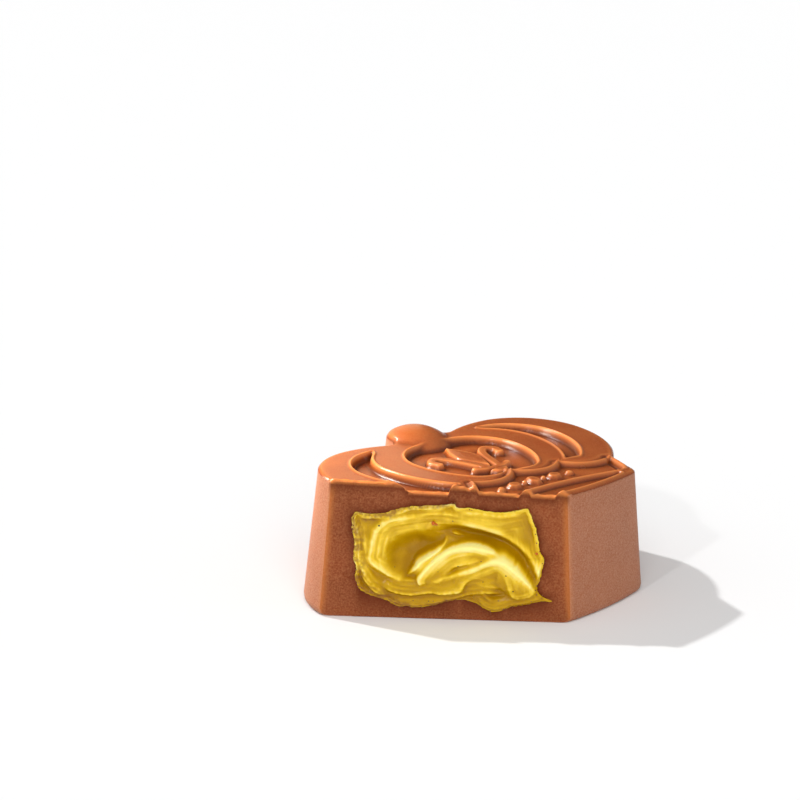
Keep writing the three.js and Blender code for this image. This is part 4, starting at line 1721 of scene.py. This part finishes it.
        # painted shade in a patch at the upper right
        shaded = smooth_step(x, 1.5, 5.0) * (1 - smooth_step(np.abs(z - 9.0), 1.5, 3.0))
        pale = 0.15 - 0.14 * shaded + 0.45 * level
        pale = pale + 0.16 * np.clip(fine, -0.3, 1) + 0.38 * np.clip(broad, -0.6, 1)
        patches = 0.08 * unevenness(x, z, size=1.1, seed=39)
        return np.clip(pale + 0.2 * border - 0.42 * low + patches, 0, 1)

    def crumb_places(self) -> tuple[tuple[float, float, float], ...]:
        """Places and sizes of the crumbs that the knife left along the cream's border."""
        draw = random.Random(45)
        line = self.edge_line()
        places = []
        for _ in range(self.crumbs):
            x, z = line[draw.randrange(len(line))]
            away = draw.gauss(0.05, 0.16)
            places.append((x + draw.gauss(0, 0.12), z + away, draw.uniform(0.07, 0.2)))
        return tuple(places)

    def face(self) -> HeightMap:
        """How far the cream stands out, softened as cream is, with the drag lines that stay fine."""
        forms = HeightMap.sample(self.low, self.high, self.cell, self.stand_out).softened(self.softness)
        fine = HeightMap.sample(self.low, self.high, self.cell, self.wrinkles)
        return HeightMap(forms.low, forms.cell, forms.values + fine.values)

    def wrinkles(self, x: Values, z: Values) -> Values:
        """Fine wrinkles that run along the border, deepest in the thin film."""
        within = self.within(x, z)
        lines = unevenness(within * 5.5, (x - z) * 0.5, size=1.0, seed=46)
        lines += 0.6 * unevenness(within * 11.0, (x - z) * 0.9, size=1.0, seed=47)
        grains = unevenness(x, z, size=0.16, seed=48)
        film = self.film(x, within)
        return (0.02 + 0.06 * film) * lines + (0.01 + 0.03 * film) * grains

    @staticmethod
    def film(x: Values, within: Values) -> Values:
        """Where the cream is a thin film: along the left and upper border."""
        reaches = 0.6 + 1.0 * smooth_step(-x, 6.0, 12.0)
        return (1 - smooth_step(within / reaches, 0.15, 1.0)) * (1 - smooth_step(x, -3.5, -1.5))

    def thinness(self, x: Values, z: Values) -> Values:
        """How much of the chocolate shows through the thin film along the left and upper border."""
        film = self.film(x, self.within(x, z))
        patches = 0.5 + 0.5 * unevenness(x * 0.7, z * 1.6, size=0.5, seed=43)
        patches = patches + 0.35 * unevenness(x, z, size=0.2, seed=44)
        return np.clip(film * patches * 1.3, 0, 1) * 0.75

    def edge_block(self, inset: float, back: float) -> bpy.types.Object:
        """A solid along Y with the cream's outline.

        Args:
            inset: how far it lies within the outline in mm.
            back: how far behind the cut face it reaches.

        Returns:
            The solid, which stands out of the cut by `front`.
        """
        line = self.edge_line()
        if inset:
            line = line[(line[:, 0] < self.wisp[0]) | (line[:, 1] > self.wisp[1])]
        tangent = np.roll(line, -1, axis=0) - np.roll(line, 1, axis=0)
        normal = np.column_stack([tangent[:, 1], -tangent[:, 0]]) / np.hypot(*tangent.T)[:, None]
        moved = smooth_ring(line + normal * inset, 3 if inset else 0)
        rows = [np.column_stack([moved, np.full(len(moved), depth)]) for depth in (-back, self.front)]
        block = lofted_solid("cream_edge", rows)
        stand_up(block, self.shell)
        return block

    def build(self, face: HeightMap) -> bpy.types.Object:
        """Makes the cream.

        Args:
            face: how far the cream stands out of the cut face.

        Returns:
            The piece.
        """
        shell, low, high = self.shell, self.low, self.high
        cream = surface_block("cream_filling_folds", low, high, self.cell, face.at, -self.behind)
        stand_up(cream, shell)
        apply_solid(cream, self.edge_block(0.0, shell.mouth_depth), Join.KEEP_INSIDE)
        front = shell.cut - shell.mouth_depth + self.core_overlap
        apply_solid(cream, shell.cavity_block(self.core_grow, front), Join.ADD)
        x, y, z = coordinates(cream.data).T
        level = z * shell.slope(x, y)
        # painted light and shade of the cream
        set_attribute(cream.data, "painted_light_and_shade", self.painted_light_and_shade(face, x, level))
        set_attribute(cream.data, "thin", self.thinness(x, level))
        cream.data.materials.clear()
        cream.data.materials.append(CreamFinish().make())
        cream.data.shade_smooth()
        shell.finish_mesh(cream)
        cream.data.set_sharp_from_angle(angle=self.sharp)
        return cream


def smooth_ring(ring: Points, times: int) -> Points:
    """A closed ring with its small wiggles evened out."""
    for _ in range(times):
        ring = (np.roll(ring, 1, axis=0) + ring * 2 + np.roll(ring, -1, axis=0)) / 4
    return ring


def stand_up(block: bpy.types.Object, shell: ChocolateShell) -> None:
    """Turns a block whose plan is the cut face so that its top looks out of the leaning cut."""
    points = coordinates(block.data)
    x, z = points[:, 0], points[:, 1]
    y = -shell.cut_at(z) - points[:, 2]
    set_coordinates(block.data, np.column_stack([x, y, z / shell.slope(x, y)]))


# ---------------------------------------------------------------- bits


@dataclass(frozen=True)
class Bits:
    """Small bits that lie on the cut, as one piece. Each place is x, z and the bit's size in mm."""

    name: str
    finish: BitFinish
    places: tuple[tuple[float, float, float], ...]
    seed: int

    def build(self, cream: CreamFilling, face: HeightMap) -> bpy.types.Object:
        """Makes the bits.

        Args:
            cream: the cream that they lie on.
            face: how far it stands out of the cut face.

        Returns:
            The piece.
        """
        draw = random.Random(self.seed)
        bm = bmesh.new()
        for x, z, size in self.places:
            out = float(face.at(np.array([x]), np.array([z]))[0])
            made = bmesh.ops.create_icosphere(bm, subdivisions=2, radius=size / 2)["verts"]
            turn = Matrix.Rotation(draw.uniform(0, math.pi), 4, Vector((draw.random(), 1, draw.random())))
            squash = Matrix.Diagonal((1, draw.uniform(0.55, 0.8), draw.uniform(0.6, 0.9), 1))
            for vertex in made:
                vertex.co *= 1 + draw.uniform(-0.18, 0.18)
            y = -float(cream.shell.cut_at(z)) - out
            place = Matrix.Translation((x, y, z / float(cream.shell.slope(x, y))))
            bmesh.ops.transform(bm, matrix=place @ turn @ squash, verts=made)
        bmesh.ops.recalc_face_normals(bm, faces=bm.faces[:])
        piece = new_object(self.name, bm)
        piece.data.materials.append(self.finish.make())
        piece.data.shade_smooth()
        cream.shell.finish_mesh(piece)
        return piece


NUT_SPECKS = (
    (-9.98, 10.16, 0.24), (-1.77, 6.09, 0.17), (0.61, 6.68, 0.15), (3.21, 5.34, 0.17),
    (0.81, 4.4, 0.15), (3.95, 3.62, 0.19), (-8.41, 5.47, 0.12), (-4.8, 2.17, 0.14),
    (-6.42, 2.14, 0.12), (2.42, 2.36, 0.12), (-3.84, 5.43, 0.1), (-2.39, 10.68, 0.14),
)
NUT_FLAKES = ((-4.4, 10.44, 0.68), (-4.12, 10.33, 0.36), (6.3, 7.53, 0.36))


# ---------------------------------------------------------------- studio


@dataclass(frozen=True)
class Studio:
    """The white table, the lights and the camera at the photo's angle.

    The key lamp stands behind at the left and a wide fill in front, and three small lamps draw the
    glints and light the left lobe. Where the camera stands is given in mm and radians.
    """

    azimuth: float = math.radians(4.778)
    elevation: float = math.radians(17.098)
    distance: float = 300.0
    aside: float = -8.671
    above: float = 12.897
    look_at: tuple[float, float, float] = (0, 0, 7.25)
    lens: float = 126.37

    def build(self) -> None:
        """Sets up the floor, the lights and the camera."""
        table = self.floor()
        self.lamp("key", 1.7, 2, (0.87, -0.45, -1.0))
        self.lamp("front fill", 1.37, 40, (-0.15, 1.0, -0.75)).visible_glossy = False
        self.lamp("glint", 0.4, 3, (0.45, 0.8, -0.6))
        softbox = self.softbox("softbox over the left lobe", 16, (-34, 2, 34), 3.1, "#fff0e0")
        self.spare(softbox, table)
        card = self.softbox("card behind the left lobe", 28, (-19, 40, 28), 0.27, "#ffe2bd")
        self.spare(card, table)
        self.world()
        self.camera()
        bpy.context.scene.view_settings.view_transform = "Standard"

    @staticmethod
    def spare(lamp: bpy.types.Object, piece: bpy.types.Object) -> None:
        """Keeps a lamp's light off a piece, so that the table stays evenly white."""
        spared = bpy.data.collections.new("not lit by " + lamp.name)
        spared.objects.link(piece)
        spared.collection_objects[0].light_linking.link_state = "EXCLUDE"
        lamp.light_linking.receiver_collection = spared

    @staticmethod
    def floor() -> bpy.types.Object:
        """The white table."""
        bm = bmesh.new()
        bmesh.ops.create_grid(bm, x_segments=1, y_segments=1, size=3)
        table = new_object("floor", bm)
        material, tree, output = new_material("white table")
        shader = add_node(
            tree, "ShaderNodeBsdfPrincipled",
            {"Base Color": linear("#f6f6f6"), "Roughness": 0.9, "Specular IOR Level": 0.1},
        )
        tree.links.new(shader.outputs["BSDF"], output.inputs["Surface"])
        table.data.materials.append(material)
        table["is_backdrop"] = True
        return table

    @staticmethod
    def lamp(
        name: str, strength: float, width: float, towards: tuple[float, float, float]
    ) -> bpy.types.Object:
        """A far lamp.

        Args:
            name: its name.
            strength: the light that it gives a face which looks at it.
            width: how wide it looks from the truffle, in degrees.
            towards: the way that its light goes.

        Returns:
            The lamp.
        """
        light = bpy.data.lights.new(name, "SUN")
        light.energy = strength
        light.angle = math.radians(width)
        made = bpy.data.objects.new(name, light)
        bpy.context.scene.collection.objects.link(made)
        made.rotation_mode = "QUATERNION"
        made.rotation_quaternion = Vector(towards).to_track_quat("-Z", "Y")
        return made

    @staticmethod
    def softbox(
        name: str, size: float, where: tuple[float, float, float], strength: float, tint: str
    ) -> bpy.types.Object:
        """A square lamp close by, so that what lies nearer to it is brighter.

        Args:
            name: its name.
            size: the length of its side in mm.
            where: its middle in mm.
            strength: the light that it gives a face at the origin which looks at it.
            tint: the colour of its light.

        Returns:
            The lamp.
        """
        light = bpy.data.lights.new(name, "AREA")
        light.color = linear(tint)[:3]
        light.size = size * MM
        place = Vector(where) * MM
        light.energy = strength * math.pi * place.length_squared
        made = bpy.data.objects.new(name, light)
        bpy.context.scene.collection.objects.link(made)
        made.visible_camera = False
        made.rotation_mode = "QUATERNION"
        made.rotation_quaternion = (-place).to_track_quat("-Z", "Y")
        made.location = place
        return made

    @staticmethod
    def world() -> None:
        """White light from all round, weaker from low behind, so that the top keeps its colour."""
        world = bpy.data.worlds.new("studio")
        world.use_nodes = True
        tree = world.node_tree
        way = add_node(tree, "ShaderNodeTexCoord").outputs["Generated"]
        towards = add_node(
            tree, "ShaderNodeVectorMath", {"operation": "DOT_PRODUCT", 1: (-0.08, 0.95, 0.3)}, {0: way}
        )
        dimmed = add_node(
            tree,
            "ShaderNodeMapRange",
            {"From Min": 0.3, "From Max": 1.0, "To Min": 0.48, "To Max": 0.05},
            {"Value": towards.outputs["Value"]},
        )
        back = tree.nodes["Background"]
        back.inputs["Color"].default_value = (1, 1, 1, 1)
        tree.links.new(dimmed.outputs["Result"], back.inputs["Strength"])
        bpy.context.scene.world = world

    def camera(self) -> None:
        """The camera at the photo's angle and distance."""
        a, e = self.azimuth, self.elevation
        back = Vector((math.sin(a) * math.cos(e), -math.cos(a) * math.cos(e), math.sin(e)))
        right = Vector((math.cos(a), math.sin(a), 0))
        up = back.cross(right)
        place = Vector(self.look_at) + back * self.distance + right * self.aside + up * self.above
        lens = bpy.data.cameras.new("camera")
        lens.sensor_width = 36
        lens.lens = self.lens
        lens.clip_start = 0.01
        made = bpy.data.objects.new("camera", lens)
        bpy.context.scene.collection.objects.link(made)
        made.rotation_mode = "QUATERNION"
        made.rotation_quaternion = Matrix((right, up, back)).transposed().to_quaternion()
        made.location = place * MM
        bpy.context.scene.camera = made


def hand_over(piece: bpy.types.Object, slot: str, *nodes: str) -> None:
    """Rides a piece on the truffle, hides the solids that it stands for, and logs its triangles."""
    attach(piece, BODY)
    if nodes:
        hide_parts(*nodes)
    piece.data.calc_loop_triangles()
    log.info("%s: %d triangles", piece.name, len(piece.data.loop_triangles))


def write_sizes() -> None:
    """Measures the box of the solids and of the finished pieces."""
    boxes = {"cad": CAD_BOX, "visual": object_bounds()}
    {name: [list(corner) for corner in box] for name, box in boxes.items()}


def main() -> None:
    """Builds the truffle and the studio."""
    Studio().build()
    cream = CreamFilling()
    shell = cream.shell
    face = cream.face()
    mouth = cream.edge_block(cream.mouth_inset, shell.mouth_depth)
    hand_over(shell.build(mouth, cream.edge_line()), "milk_chocolate", "chocolate_shell")
    hand_over(cream.build(face), "cream", "cream_filling")
    for bits, slot in (
        (Bits("dark_bits", GROUND_NUT_SKIN, NUT_SPECKS, seed=5), "cream"),
        (Bits("nut_bits", ROASTED_NUT_SKIN, NUT_FLAKES, seed=6), "cream"),
        (Bits("chocolate_crumbs", CHOCOLATE_CRUMB, cream.crumb_places(), seed=7), "milk_chocolate"),
    ):
        hand_over(bits.build(cream, face), slot)
    write_sizes()


if __name__ == "__main__":
    main()
